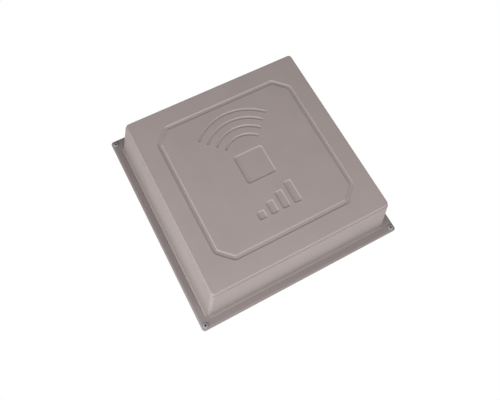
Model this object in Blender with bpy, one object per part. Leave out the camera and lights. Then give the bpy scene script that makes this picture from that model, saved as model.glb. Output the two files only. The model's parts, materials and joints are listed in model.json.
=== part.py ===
"""Flat directional panel antenna on a tilting mast clamp, modelled in metres with +Z up.

The mast's axis is the Z axis and the clamp's middle is the origin. The panel faces -Y.
The mast bracket, its saddle and the two cross bolts stay with the mast. Everything from
the tilt bracket forward swings with the panel about the pivot bolt, which lies along X.
"""

import math

import bmesh
import bpy
from mathutils import Vector

GAP = 0.0003                     # clearance between pieces that touch
FINE = 24                        # sides of the round shapes that need more of them
COARSE = 12                      # sides of fasteners and other small round shapes

# Radome: a formed cover with an all-round flange
FLANGE_HALF = 0.150
FLANGE_CORNER = 0.0042
FLANGE_THICKNESS = 0.0025
LIP_RADIUS = 0.0020
COVER_HEIGHT = 0.0733            # front face above the front of the flange
COVER_WALL = 0.0025
FRONT_HALF = 0.1229              # flat part of the front face
FRONT_CORNER = 0.0035
SHOULDER_RADIUS = 0.0030
WALL_BASE_HALF = 0.1358
WALL_BASE_CORNER = 0.0045
BEAD_HALF = 0.1405
BEAD_CORNER = 0.0086
BEAD_HEIGHT = 0.0016

# Relief pressed into the front face
OCTAGON_HALF = 0.0969            # groove's centre line, from the middle to a side
OCTAGON_CHAMFER = 0.0176         # leg of each cut corner
OCTAGON_GROOVE_TOP = 0.0070
OCTAGON_GROOVE_FLOOR = 0.0034
RELIEF_DEPTH = 0.0012
ARC_COUNT = 4
ARC_CENTRE_Z = 0.0114
ARC_FIRST_RADIUS = 0.0328
ARC_STEP = 0.0123
ARC_HALF_ANGLE = math.radians(44)
ARC_GROOVE_TOP = 0.0040
ARC_GROOVE_FLOOR = 0.0014
POCKET_HALF = 0.0209
POCKET_FLOOR_HALF = 0.0194
BAR_COUNT = 4
BAR_WIDTH = 0.0098
BAR_PITCH = 0.0166
BAR_FOOT_Z = -0.0690
BAR_FIRST_HEIGHT = 0.0100
BAR_HEIGHT_STEP = 0.0068
BAR_SLOPE = 0.0008

# Closing plate, gasket and rivets
PLATE_HALF = 0.1485
PLATE_CORNER = 0.0050
PLATE_THICKNESS = 0.0020
GASKET_OUTER_HALF = 0.1480
GASKET_INNER_HALF = 0.1375
GASKET_THICKNESS = 0.0010
RIVET_OFFSET = 0.1438
RIVET_HEAD_RADIUS = 0.0040
RIVET_HEAD_HEIGHT = 0.0013
RIVET_SLEEVE_RADIUS = 0.0020
RIVET_BULB_RADIUS = 0.0030
RIVET_BULB_LENGTH = 0.0032
RIVET_BORE_RADIUS = 0.0011

# Radiating parts
BOARD_HALF = 0.1150
BOARD_CORNER = 0.0030
BOARD_THICKNESS = 0.0016
BOARD_HEIGHT = 0.0080            # board above the back plate
SPACER_OFFSET = 0.1050
SPACER_RADIUS = 0.0040
SPACER_TIP_RADIUS = 0.0017
ELEMENT_OFFSET = 0.0600
POST_RADIUS = 0.0045
POST_NECK_RADIUS = 0.0030
POST_TIP_RADIUS = 0.0018
DRIVEN_HALF = 0.0290
DRIVEN_CHAMFER = 0.0060
DRIVEN_HEIGHT = 0.0140           # above the board
PARASITIC_RADIUS = 0.0260
PARASITIC_HEIGHT = 0.0330
PATCH_THICKNESS = 0.0010

# Screw-on coaxial connectors in the back plate
CONNECTOR_X = 0.0500
CONNECTOR_Z = -0.1080
CONNECTOR_THREAD_RADIUS = 0.0079
CONNECTOR_FLATS = 0.0190
CONNECTOR_BORE_RADIUS = 0.0043
CONNECTOR_LENGTH = 0.0150
CONNECTOR_FLANGE = 0.0030
CONNECTOR_TAIL = 0.0100
INSULATOR_FRONT = 0.0060
CONTACT_RADIUS = 0.0015
CONTACT_FRONT = 0.0120
CONTACT_BORE_RADIUS = 0.0008
CONTACT_BORE_DEPTH = 0.0050
CONTACT_TAIL_RADIUS = 0.0006
CONTACT_TAIL_PROUD = 0.0012      # past the front of the board
SEAL_THICKNESS = 0.0009
SEAL_WIDTH = 0.0011
CONNECTOR_WASHER = 0.0008
CONNECTOR_WASHER_RADIUS = 0.0107
CONNECTOR_NUT = 0.0030
THREAD_CHAMFER = 0.0006

# Mast clamp
MAST_RADIUS = 0.0250
ROD_RADIUS = 0.0040              # 8 mm U-bolt and cross bolts
LEG_X = 0.0310
U_BEND_Y = -0.0020
LEG_END_Y = -0.0660
SADDLE_BACK_THICKNESS = 0.0045   # from the V's bottom to the base plate
SHEET = 0.0025
SADDLE_HALF_X = 0.0390
SADDLE_HALF_Z = 0.0200
SADDLE_LIP_Y = -0.0120
SADDLE_BEND = 0.0015
TOOTH_PITCH = 0.0030
TOOTH_DEPTH = 0.0012
BRACKET_SHEET = 0.0030
BEND_RADIUS = 0.0040
MAST_BRACKET_HALF_X = 0.0420
MAST_BRACKET_HALF_Z = 0.0360
MAST_EAR_END_Y = -0.1000
TILT_BRACKET_HALF_X = 0.0455
TILT_BRACKET_HALF_Z = 0.0440
TILT_EAR_END_Y = -0.0300
PIVOT_Y = -0.0750
PIVOT_Z = 0.0200
LOCK_RADIUS = 0.0400             # from the pivot to the lock bolt
TILT_LIMIT = math.radians(25)
EAR_RADIUS = 0.0130
ROD_HOLE_RADIUS = 0.0044
ROD_CHAMFER = 0.0008
PAST = 0.0020                    # how far a cutter reaches beyond the sheet that it cuts
CUTTER_REACH = 0.0700            # half length of the cutters that go through both ears
WASHER_RADIUS = 0.0080
LEG_WASHER_RADIUS = 0.0076       # smaller, to clear the bracket's ears
LOCK_WASHER_RADIUS = 0.0090
WASHER_THICKNESS = 0.0016
M8_FLATS = 0.0130
M8_NUT = 0.0065
M8_HEAD = 0.0053
NUT_CHAMFER = 0.0007
LOCK_NUT = 0.0080
PIVOT_BOLT_END = 0.0580
LOCK_BOLT_END = 0.0640
WING_HUB_RADIUS = 0.0070
WING_HUB_TIP_RADIUS = 0.0055
WING_HUB_SHOULDER = 0.0040       # length of the hub's widest part
WING_HUB_LENGTH = 0.0090
WING_SPAN = 0.0165
WING_RISE = 0.0130
WING_ROOT = 0.0052               # wings start this far from the axis, inside the hub
WING_WAIST = 0.0108              # where the wing is narrowest, from the axis
WING_THICKNESS = 0.0030
STUD_X = 0.0220
STUD_Z = 0.0300
STUD_RADIUS = 0.0030
STUD_HOLE_RADIUS = 0.0034
STUD_HEAD_RADIUS = 0.0050
STUD_HEAD = 0.0012
STUD_LENGTH = 0.0165
FLANGE_NUT_RADIUS = 0.0065
FLANGE_NUT_FLATS = 0.0100
FLANGE_NUT_HEIGHT = 0.0060
FLANGE_NUT_SKIRT = 0.0012

# Depths along Y, worked out from the mast forwards
SADDLE_APEX_Y = -MAST_RADIUS * math.sqrt(2)
SADDLE_BASE_Y = SADDLE_APEX_Y - SADDLE_BACK_THICKNESS
SADDLE_FRONT_Y = SADDLE_BASE_Y - SHEET
MAST_WEB_BACK_Y = SADDLE_FRONT_Y - GAP
MAST_WEB_FRONT_Y = MAST_WEB_BACK_Y - BRACKET_SHEET
TILT_WEB_BACK_Y = PIVOT_Y - 0.0340
TILT_WEB_FRONT_Y = TILT_WEB_BACK_Y - BRACKET_SHEET
PLATE_BACK_Y = TILT_WEB_FRONT_Y - GAP
PLATE_FRONT_Y = PLATE_BACK_Y - PLATE_THICKNESS
GASKET_BACK_Y = PLATE_FRONT_Y - GAP
GASKET_FRONT_Y = GASKET_BACK_Y - GASKET_THICKNESS
FLANGE_BACK_Y = GASKET_FRONT_Y - GAP
FLANGE_FRONT_Y = FLANGE_BACK_Y - FLANGE_THICKNESS
FRONT_Y = FLANGE_FRONT_Y - COVER_HEIGHT
BOARD_BACK_Y = PLATE_FRONT_Y - BOARD_HEIGHT
BOARD_FRONT_Y = BOARD_BACK_Y - BOARD_THICKNESS
LOCK_Z = PIVOT_Z - LOCK_RADIUS


def clear_scene():
    """Starts from an empty scene, whatever file the script runs from."""
    for item in list(bpy.data.objects):
        bpy.data.objects.remove(item, do_unlink=True)


def material(name, colour, roughness, metallic=0.0):
    """A Principled material of one colour."""
    made = bpy.data.materials.new(name)
    made.use_nodes = True
    shader = made.node_tree.nodes["Principled BSDF"]
    shader.inputs["Base Color"].default_value = (*colour, 1.0)
    shader.inputs["Roughness"].default_value = roughness
    shader.inputs["Metallic"].default_value = metallic
    made.diffuse_color = (*colour, 1.0)
    return made


def add_object(name, bm, finish):
    """Puts a bmesh into the scene as a closed, outward-facing, smooth-shaded object."""
    bmesh.ops.recalc_face_normals(bm, faces=bm.faces)
    mesh = bpy.data.meshes.new(name)
    bm.to_mesh(mesh)
    bm.free()
    mesh.shade_smooth()
    mesh.set_sharp_from_angle(angle=math.radians(30))
    if finish is not None:
        mesh.materials.append(finish)
    made = bpy.data.objects.new(name, mesh)
    bpy.context.scene.collection.objects.link(made)
    return made


def loft(rings, closed=False, bm=None):
    """Skins a row of rings that have equal counts. A closed loft joins its last ring to its first."""
    bm = bm or bmesh.new()
    loops = [[bm.verts.new(point) for point in ring] for ring in rings]
    pairs = list(zip(loops, loops[1:]))
    if closed:
        pairs.append((loops[-1], loops[0]))
    for one, two in pairs:
        for index, vert in enumerate(one):
            after = (index + 1) % len(one)
            bm.faces.new((vert, one[after], two[after], two[index]))
    if not closed:
        bm.faces.new(loops[0])
        bm.faces.new(loops[-1])
    return bm


def rounded_square(half, corner, steps=4, half_y=None, middle=(0.0, 0.0)):
    """The corner points of a rounded square or rectangle, anticlockwise from its right side."""
    half_y = half if half_y is None else half_y
    points = []
    for quarter, (side_x, side_y) in enumerate(((1, 1), (-1, 1), (-1, -1), (1, -1))):
        for step in range(steps + 1):
            angle = math.pi / 2 * (quarter + step / steps)
            points.append((
                middle[0] + side_x * (half - corner) + corner * math.cos(angle),
                middle[1] + side_y * (half_y - corner) + corner * math.sin(angle),
            ))
    return points


def facing(points, y):
    """Plane points (x, z) stood up at a depth along Y."""
    return [Vector((x, y, z)) for x, z in points]


def across(points, x):
    """Plane points (y, z) stood up at a place along X."""
    return [Vector((x, y, z)) for y, z in points]


def level(points, z):
    """Plane points (x, y) laid flat at a height."""
    return [Vector((x, y, z)) for x, y in points]


def circle(radius, sides, middle=(0.0, 0.0)):
    """Points round a circle."""
    turn = 2 * math.pi / sides
    return [
        (middle[0] + radius * math.cos(turn * i), middle[1] + radius * math.sin(turn * i))
        for i in range(sides)
    ]


def hexagon(flats, sides=COARSE, limit=None, middle=(0.0, 0.0)):
    """Points round a hexagon of that width across flats, cut back to a limiting radius."""
    points = []
    for index in range(sides):
        angle = 2 * math.pi * index / sides
        from_flat = (angle + math.pi / 6) % (math.pi / 3) - math.pi / 6
        radius = flats / 2 / math.cos(from_flat)
        radius = min(radius, limit) if limit else radius
        points.append((middle[0] + radius * math.cos(angle), middle[1] + radius * math.sin(angle)))
    return points


def along_y(steps, middle, sides=COARSE):
    """Rings round an axis along Y, from (radius, y) steps or (outline, y) steps."""
    rings = []
    for shape, y in steps:
        outline = circle(shape, sides) if isinstance(shape, float) else shape
        rings.append([Vector((middle[0] + x, y, middle[1] + z)) for x, z in outline])
    return rings


def along_x(steps, middle, sides=COARSE):
    """Rings round an axis along X, from (radius, x) steps or (outline, x) steps."""
    rings = []
    for shape, x in steps:
        outline = circle(shape, sides) if isinstance(shape, float) else shape
        rings.append([Vector((x, middle[0] + y, middle[1] + z)) for y, z in outline])
    return rings


def cutter(name, bm):
    """A hidden shape that a Boolean takes away from, or keeps of, another."""
    made = add_object(name, bm, None)
    made.hide_render = True
    made.display_type = "WIRE"
    return made


def apply_boolean(target, other, operation="DIFFERENCE"):
    """Adds a Boolean with the exact solver."""
    step = target.modifiers.new(other.name, "BOOLEAN")
    step.operation = operation
    step.solver = "EXACT"
    step.object = other


def round_holes(target, holes, depth_from, depth_to):
    """Drills round holes along Y, given as (radius, middle), right through between two depths."""
    bm = bmesh.new()
    for radius, middle in holes:
        loft(along_y([(radius, depth_from), (radius, depth_to)], middle), bm=bm)
    apply_boolean(target, cutter(target.name + "_holes", bm))


def corners(offset_x, offset_z=None):
    """Names and places of four pieces set symmetrically about the middle."""
    offset_z = offset_x if offset_z is None else offset_z
    return [
        ("top_left", (-offset_x, offset_z)),
        ("top_right", (offset_x, offset_z)),
        ("bottom_left", (-offset_x, -offset_z)),
        ("bottom_right", (offset_x, -offset_z)),
    ]


# ---- Radome -------------------------------------------------------------------------------


def front_ring(half, corner, height):
    """A rounded-square ring of the cover at a height above the flange's front."""
    return facing(rounded_square(half, corner), FLANGE_FRONT_Y - height)


def radome_rings():
    """Rings of the cover, from the middle of its hollow round the flange to the front face."""
    wall_top = COVER_HEIGHT - SHOULDER_RADIUS
    wall_top_half = FRONT_HALF + SHOULDER_RADIUS
    wall_top_corner = FRONT_CORNER + SHOULDER_RADIUS
    hollow = COVER_HEIGHT - COVER_WALL
    inside = [
        (FRONT_HALF - 0.0012, FRONT_CORNER - 0.0012, hollow),
        (wall_top_half - COVER_WALL, wall_top_corner - COVER_WALL, hollow - 0.0012),
        (WALL_BASE_HALF - COVER_WALL, WALL_BASE_CORNER - COVER_WALL, -FLANGE_THICKNESS),
    ]
    outside = [
        (FLANGE_HALF, FLANGE_CORNER, -FLANGE_THICKNESS),
        (FLANGE_HALF, FLANGE_CORNER, -LIP_RADIUS),
        (FLANGE_HALF - 0.3 * LIP_RADIUS, FLANGE_CORNER - 0.3 * LIP_RADIUS, -0.3 * LIP_RADIUS),
        (FLANGE_HALF - LIP_RADIUS, FLANGE_CORNER - LIP_RADIUS, 0.0),
        (BEAD_HALF, BEAD_CORNER, 0.0),
        (BEAD_HALF - BEAD_HEIGHT / 2, BEAD_CORNER - BEAD_HEIGHT / 2, BEAD_HEIGHT),
        (WALL_BASE_HALF + BEAD_HEIGHT / 2, WALL_BASE_CORNER + BEAD_HEIGHT / 2, BEAD_HEIGHT),
        (WALL_BASE_HALF, WALL_BASE_CORNER, 2 * BEAD_HEIGHT),
        (wall_top_half, wall_top_corner, wall_top),
        (
            FRONT_HALF + 0.7 * SHOULDER_RADIUS,
            FRONT_CORNER + 0.7 * SHOULDER_RADIUS,
            COVER_HEIGHT - 0.3 * SHOULDER_RADIUS,
        ),
        (FRONT_HALF, FRONT_CORNER, COVER_HEIGHT),
    ]
    return [front_ring(*step) for step in inside + outside]


def groove(bm, path, closed, top_width, floor_width):
    """A groove cutter with sloping sides, swept along plane points on the front face."""
    above = RELIEF_DEPTH
    spread = (top_width - floor_width) / 2
    section = (
        (-floor_width / 2, -RELIEF_DEPTH),
        (floor_width / 2, -RELIEF_DEPTH),
        (floor_width / 2 + 2 * spread, above),
        (-floor_width / 2 - 2 * spread, above),
    )
    rings = []
    for index, point in enumerate(path):
        here = Vector(point)
        before = Vector(path[index - 1]) if closed or index else None
        after = Vector(path[(index + 1) % len(path)]) if closed or index + 1 < len(path) else None
        into = (here - before).normalized() if before else (after - here).normalized()
        out = (after - here).normalized() if after else into
        side = Vector((into.y + out.y, -into.x - out.x)).normalized()
        reach = 1 / side.dot(Vector((into.y, -into.x)))
        rings.append([
            Vector((
                here.x + side.x * reach * offset,
                FRONT_Y - height,
                here.y + side.y * reach * offset,
            ))
            for offset, height in section
        ])
    return loft(rings, closed=closed, bm=bm)


def octagon_path():
    """The groove's centre line: a square with its corners cut."""
    near, far = OCTAGON_HALF - OCTAGON_CHAMFER, OCTAGON_HALF
    return [
        (far, near), (near, far), (-near, far), (-far, near),
        (-far, -near), (-near, -far), (near, -far), (far, -near),
    ]


def arc_path(radius, steps=10):
    """One signal arc, opening upwards from its centre."""
    points = []
    for step in range(steps + 1):
        angle = ARC_HALF_ANGLE * (2 * step / steps - 1)
        points.append((radius * math.sin(angle), ARC_CENTRE_Z + radius * math.cos(angle)))
    return points


def pocket(bm, half_x, half_z, middle, slope, corner):
    """A rectangular pocket cutter with sloping sides."""
    floor = rounded_square(half_x - slope, corner, 2, half_z - slope, middle)
    rim = rounded_square(half_x + slope, corner + 2 * slope, 2, half_z + slope, middle)
    loft([facing(floor, FRONT_Y + RELIEF_DEPTH), facing(rim, FRONT_Y - RELIEF_DEPTH)], bm=bm)


def make_radome(finish):
    """The cover, with its relief and its rivet holes."""
    radome = add_object("radome", loft(radome_rings()), finish)
    ring = groove(bmesh.new(), octagon_path(), True, OCTAGON_GROOVE_TOP, OCTAGON_GROOVE_FLOOR)
    apply_boolean(radome, cutter("octagon_groove", ring))
    relief = bmesh.new()
    for index in range(ARC_COUNT):
        radius = ARC_FIRST_RADIUS + index * ARC_STEP
        groove(relief, arc_path(radius), False, ARC_GROOVE_TOP, ARC_GROOVE_FLOOR)
    slope = (POCKET_HALF - POCKET_FLOOR_HALF) / 2
    pocket(relief, POCKET_HALF - slope, POCKET_HALF - slope, (0.0, 0.0), slope, 0.001)
    for index in range(BAR_COUNT):
        height = BAR_FIRST_HEIGHT + index * BAR_HEIGHT_STEP
        middle = ((index - (BAR_COUNT - 1) / 2) * BAR_PITCH, BAR_FOOT_Z + height / 2)
        pocket(relief, BAR_WIDTH / 2, height / 2, middle, BAR_SLOPE / 2, 0.0015)
    apply_boolean(radome, cutter("front_relief", relief))
    holes = [(RIVET_SLEEVE_RADIUS + GAP, middle) for _, middle in corners(RIVET_OFFSET)]
    round_holes(radome, holes, FLANGE_BACK_Y + PAST, FLANGE_FRONT_Y - PAST)


# ---- Gasket, back plate and rivets --------------------------------------------------------


def make_gasket(finish):
    """A flat square ring between the flange and the back plate."""
    outer = rounded_square(GASKET_OUTER_HALF, PLATE_CORNER)
    inner = rounded_square(GASKET_INNER_HALF, WALL_BASE_CORNER)
    rings = [
        facing(outer, GASKET_BACK_Y),
        facing(outer, GASKET_FRONT_Y),
        facing(inner, GASKET_FRONT_Y),
        facing(inner, GASKET_BACK_Y),
    ]
    gasket = add_object("flange_gasket", loft(rings, closed=True), finish)
    holes = [(RIVET_SLEEVE_RADIUS + GAP, middle) for _, middle in corners(RIVET_OFFSET)]
    round_holes(gasket, holes, GASKET_BACK_Y + PAST, GASKET_FRONT_Y - PAST)


def make_back_plate(finish):
    """The aluminium plate that closes the cover and reflects the signal."""
    outline = rounded_square(PLATE_HALF, PLATE_CORNER)
    rings = [facing(outline, PLATE_BACK_Y), facing(outline, PLATE_FRONT_Y)]
    plate = add_object("back_plate", loft(rings), finish)
    holes = [(RIVET_SLEEVE_RADIUS + GAP, middle) for _, middle in corners(RIVET_OFFSET)]
    holes += [(STUD_HOLE_RADIUS, middle) for _, middle in corners(STUD_X, STUD_Z)]
    holes += [(CONNECTOR_THREAD_RADIUS + GAP, (side * CONNECTOR_X, CONNECTOR_Z)) for side in (-1, 1)]
    round_holes(plate, holes, PLATE_BACK_Y + PAST, PLATE_FRONT_Y - PAST)


def make_rivets(finish):
    """Blind rivets with a domed head, an open mandrel hole and a set bulb behind the plate."""
    seat = FLANGE_FRONT_Y - GAP
    behind = PLATE_BACK_Y + GAP
    steps = [
        (RIVET_BORE_RADIUS, seat + 0.0012),
        (RIVET_BORE_RADIUS, seat - RIVET_HEAD_HEIGHT),
        (0.60 * RIVET_HEAD_RADIUS, seat - 0.85 * RIVET_HEAD_HEIGHT),
        (0.90 * RIVET_HEAD_RADIUS, seat - 0.45 * RIVET_HEAD_HEIGHT),
        (RIVET_HEAD_RADIUS, seat),
        (RIVET_SLEEVE_RADIUS, seat),
        (RIVET_SLEEVE_RADIUS, behind),
        (RIVET_BULB_RADIUS, behind),
        (0.8 * RIVET_BULB_RADIUS, behind + RIVET_BULB_LENGTH),
    ]
    for name, middle in corners(RIVET_OFFSET):
        add_object("rivet_" + name, loft(along_y(steps, middle)), finish)


# ---- Radiating parts ----------------------------------------------------------------------


def make_board(finish):
    """The printed board that feeds the patches."""
    outline = rounded_square(BOARD_HALF, BOARD_CORNER, 2)
    rings = [facing(outline, BOARD_BACK_Y), facing(outline, BOARD_FRONT_Y)]
    board = add_object("feed_board", loft(rings), finish)
    holes = [(SPACER_TIP_RADIUS + GAP, middle) for _, middle in corners(SPACER_OFFSET)]
    holes += [(CONTACT_TAIL_RADIUS + GAP, (side * CONNECTOR_X, CONNECTOR_Z)) for side in (-1, 1)]
    round_holes(board, holes, BOARD_BACK_Y + PAST, BOARD_FRONT_Y - PAST)


def make_spacers(finish):
    """Moulded spacers that hold the board off the plate, with tips through the board."""
    foot = PLATE_FRONT_Y - GAP
    shoulder = BOARD_BACK_Y + GAP
    steps = [
        (SPACER_RADIUS, foot),
        (SPACER_RADIUS, shoulder),
        (SPACER_TIP_RADIUS, shoulder),
        (SPACER_TIP_RADIUS, BOARD_FRONT_Y - 0.0012),
        (0.6 * SPACER_TIP_RADIUS, BOARD_FRONT_Y - 0.0020),
    ]
    for name, middle in corners(SPACER_OFFSET):
        add_object("board_spacer_" + name, loft(along_y(steps, middle)), finish)


def patch_outline():
    """A square patch with cut corners, as points anticlockwise."""
    near, far = DRIVEN_HALF - DRIVEN_CHAMFER, DRIVEN_HALF
    return [
        (far, -near), (far, near), (near, far), (-near, far),
        (-far, near), (-far, -near), (-near, -far), (near, -far),
    ]


def make_elements(patch_finish, post_finish):
    """Four stacked elements: a square driven patch and a round parasitic patch on one post."""
    driven_y = BOARD_FRONT_Y - DRIVEN_HEIGHT
    parasitic_y = BOARD_FRONT_Y - PARASITIC_HEIGHT
    post_steps = [
        (POST_RADIUS, BOARD_FRONT_Y - GAP),
        (POST_RADIUS, driven_y + GAP),
        (POST_NECK_RADIUS, driven_y + GAP),
        (POST_NECK_RADIUS, parasitic_y + GAP),
        (POST_TIP_RADIUS, parasitic_y + GAP),
        (POST_TIP_RADIUS, parasitic_y - PATCH_THICKNESS - 0.0015),
    ]
    for name, middle in corners(ELEMENT_OFFSET):
        outline = [(middle[0] + x, middle[1] + z) for x, z in patch_outline()]
        rings = [facing(outline, driven_y), facing(outline, driven_y - PATCH_THICKNESS)]
        driven = add_object("driven_patch_" + name, loft(rings), patch_finish)
        hole = [(POST_NECK_RADIUS + GAP, middle)]
        round_holes(driven, hole, driven_y + PAST, driven_y - PATCH_THICKNESS - PAST)
        hole_radius = POST_TIP_RADIUS + GAP
        disc = along_y([
            (PARASITIC_RADIUS, parasitic_y),
            (PARASITIC_RADIUS, parasitic_y - PATCH_THICKNESS),
            (hole_radius, parasitic_y - PATCH_THICKNESS),
            (hole_radius, parasitic_y),
        ], middle, FINE)
        add_object("parasitic_patch_" + name, loft(disc, closed=True), patch_finish)
        add_object("patch_post_" + name, loft(along_y(post_steps, middle)), post_finish)


# ---- Connectors ---------------------------------------------------------------------------


def make_connectors(shell_finish, insulator_finish, contact_finish, seal_finish, washer_finish):
    """Two coaxial sockets through the back plate, sealed outside and nutted inside."""
    flange_y = PLATE_BACK_Y + GAP + SEAL_THICKNESS + GAP
    flange_end = flange_y + CONNECTOR_FLANGE
    mouth_y = PLATE_BACK_Y + CONNECTOR_LENGTH
    tail_y = PLATE_BACK_Y - CONNECTOR_TAIL
    washer_y = PLATE_FRONT_Y - GAP
    nut_y = washer_y - CONNECTOR_WASHER - GAP
    bore = CONNECTOR_BORE_RADIUS
    thread = CONNECTOR_THREAD_RADIUS
    hexagon_outline = hexagon(CONNECTOR_FLATS)
    ring_bore = thread + GAP
    body = [
        (bore, tail_y), (thread, tail_y), (thread, flange_y), (hexagon_outline, flange_y),
        (hexagon_outline, flange_end), (thread, flange_end), (thread, mouth_y - THREAD_CHAMFER),
        (thread - THREAD_CHAMFER, mouth_y), (bore, mouth_y),
    ]
    insulator_y = PLATE_BACK_Y + INSULATOR_FRONT
    insulator = [
        (CONTACT_RADIUS + GAP, tail_y), (bore - GAP, tail_y),
        (bore - GAP, insulator_y), (CONTACT_RADIUS + GAP, insulator_y),
    ]
    contact_end = PLATE_BACK_Y + CONTACT_FRONT
    contact_start = tail_y + GAP
    contact = [
        (CONTACT_TAIL_RADIUS, BOARD_FRONT_Y - CONTACT_TAIL_PROUD), (CONTACT_TAIL_RADIUS, contact_start),
        (CONTACT_RADIUS, contact_start), (CONTACT_RADIUS, contact_end),
        (CONTACT_BORE_RADIUS, contact_end), (CONTACT_BORE_RADIUS, contact_end - CONTACT_BORE_DEPTH),
    ]
    seal_front = PLATE_BACK_Y + GAP
    seal = [
        (ring_bore, seal_front), (ring_bore + SEAL_WIDTH, seal_front),
        (ring_bore + SEAL_WIDTH, flange_y - GAP), (ring_bore, flange_y - GAP),
    ]
    washer = [
        (ring_bore, washer_y), (CONNECTOR_WASHER_RADIUS, washer_y),
        (CONNECTOR_WASHER_RADIUS, washer_y - CONNECTOR_WASHER), (ring_bore, washer_y - CONNECTOR_WASHER),
    ]
    nut = [
        (ring_bore, nut_y), (hexagon_outline, nut_y),
        (hexagon_outline, nut_y - CONNECTOR_NUT), (ring_bore, nut_y - CONNECTOR_NUT),
    ]
    for side, sign in (("left", -1), ("right", 1)):
        middle = (sign * CONNECTOR_X, CONNECTOR_Z)
        for part, steps, closed, finish in (
            ("body", body, True, shell_finish),
            ("insulator", insulator, True, insulator_finish),
            ("contact", contact, False, contact_finish),
            ("seal", seal, True, seal_finish),
            ("washer", washer, True, washer_finish),
            ("nut", nut, True, shell_finish),
        ):
            rings = along_y(steps, middle)
            add_object(f"connector_{part}_{side}", loft(rings, closed=closed), finish)


# ---- Brackets -----------------------------------------------------------------------------


def belt(discs, points=()):
    """The convex outline round discs (radius, middle) and points."""
    spread = list(points)
    for radius, middle in discs:
        spread += circle(radius, FINE, middle)
    spread.sort()
    halves = []
    for order in (spread, spread[::-1]):
        chain = []
        for point in order:
            while len(chain) > 1 and turn_of(chain[-2], chain[-1], point) <= 1e-10:
                chain.pop()
            chain.append(point)
        halves += chain[:-1]
    return halves


def turn_of(one, two, three):
    """Twice the signed area of a triangle."""
    return (two[0] - one[0]) * (three[1] - one[1]) - (two[1] - one[1]) * (three[0] - one[0])


def channel_outline(half_width, web_y, ear_end_y):
    """A folded channel seen from above: a web across X and two ears along Y."""
    away = 1 if ear_end_y > web_y else -1
    inner_half = half_width - BRACKET_SHEET
    inner_web = web_y + away * BRACKET_SHEET
    inner_bend = BEND_RADIUS - BRACKET_SHEET
    right = [(half_width, ear_end_y)]
    for step in range(4):
        angle = math.pi / 2 * step / 3
        right.append((
            half_width - BEND_RADIUS + BEND_RADIUS * math.cos(angle),
            web_y + away * (BEND_RADIUS - BEND_RADIUS * math.sin(angle)),
        ))
    inside = [(inner_half, ear_end_y)]
    for step in range(3):
        angle = math.pi / 2 * step / 2
        inside.append((
            inner_half - inner_bend + inner_bend * math.cos(angle),
            inner_web + away * (inner_bend - inner_bend * math.sin(angle)),
        ))
    left = [(-x, y) for x, y in reversed(right)]
    left_inside = [(-x, y) for x, y in inside]
    return right + left + left_inside + inside[::-1]


def make_channel(name, outline, half_z, side_shape, finish):
    """A folded channel bracket whose ears are trimmed to a side shape."""
    bracket = add_object(name, loft([level(outline, -half_z), level(outline, half_z)]), finish)
    side = loft([across(side_shape, -CUTTER_REACH), across(side_shape, CUTTER_REACH)])
    apply_boolean(bracket, cutter(name + "_side", side), "INTERSECT")
    return bracket


def web_corners(one_y, other_y, half_z):
    """The four corners of a channel's web seen from the side, as (y, z) points."""
    return [(y, z) for y in (one_y, other_y) for z in (-half_z, half_z)]


def slot_outline(middle, radius, half_angle, half_width, steps=8):
    """A round-ended slot along an arc that hangs below its centre, as (y, z) points."""
    def hung(centre, at_radius, angle):
        return (centre[0] + at_radius * math.sin(angle), centre[1] - at_radius * math.cos(angle))

    points = []
    for end, start in ((1, 0.0), (-1, math.pi)):
        for step in range(steps + 1):
            angle = end * half_angle * (2 * step / steps - 1)
            points.append(hung(middle, radius + end * half_width, angle))
        centre = hung(middle, radius, end * half_angle)
        for step in range(1, 6):
            points.append(hung(centre, half_width, start + math.pi * step / 6 + end * half_angle))
    return points


def make_tilt_bracket(finish):
    """The panel's bracket: pivot holes above, arc slots below for the lock bolt."""
    pivot = (PIVOT_Y, PIVOT_Z)
    slot_end = (LOCK_RADIUS * math.sin(TILT_LIMIT), PIVOT_Z - LOCK_RADIUS * math.cos(TILT_LIMIT))
    discs = [
        (EAR_RADIUS, pivot),
        (EAR_RADIUS, (PIVOT_Y, LOCK_Z)),
        (EAR_RADIUS, (PIVOT_Y + slot_end[0], slot_end[1])),
        (EAR_RADIUS, (PIVOT_Y - slot_end[0], slot_end[1])),
    ]
    web = web_corners(TILT_WEB_FRONT_Y - PAST, TILT_WEB_BACK_Y, TILT_BRACKET_HALF_Z)
    outline = channel_outline(TILT_BRACKET_HALF_X, TILT_WEB_FRONT_Y, TILT_EAR_END_Y)
    half_z = TILT_BRACKET_HALF_Z + PAST
    bracket = make_channel("tilt_bracket", outline, half_z, belt(discs, web), finish)
    pivot_hole = loft(along_x([(ROD_HOLE_RADIUS, -CUTTER_REACH), (ROD_HOLE_RADIUS, CUTTER_REACH)], pivot))
    apply_boolean(bracket, cutter("tilt_bracket_pivot_hole", pivot_hole))
    slot = slot_outline(pivot, LOCK_RADIUS, TILT_LIMIT, ROD_HOLE_RADIUS)
    cut = loft([across(slot, -CUTTER_REACH), across(slot, CUTTER_REACH)])
    apply_boolean(bracket, cutter("tilt_bracket_slots", cut))
    holes = [(STUD_HOLE_RADIUS, middle) for _, middle in corners(STUD_X, STUD_Z)]
    round_holes(bracket, holes, TILT_WEB_BACK_Y + PAST, TILT_WEB_FRONT_Y - PAST)


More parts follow.
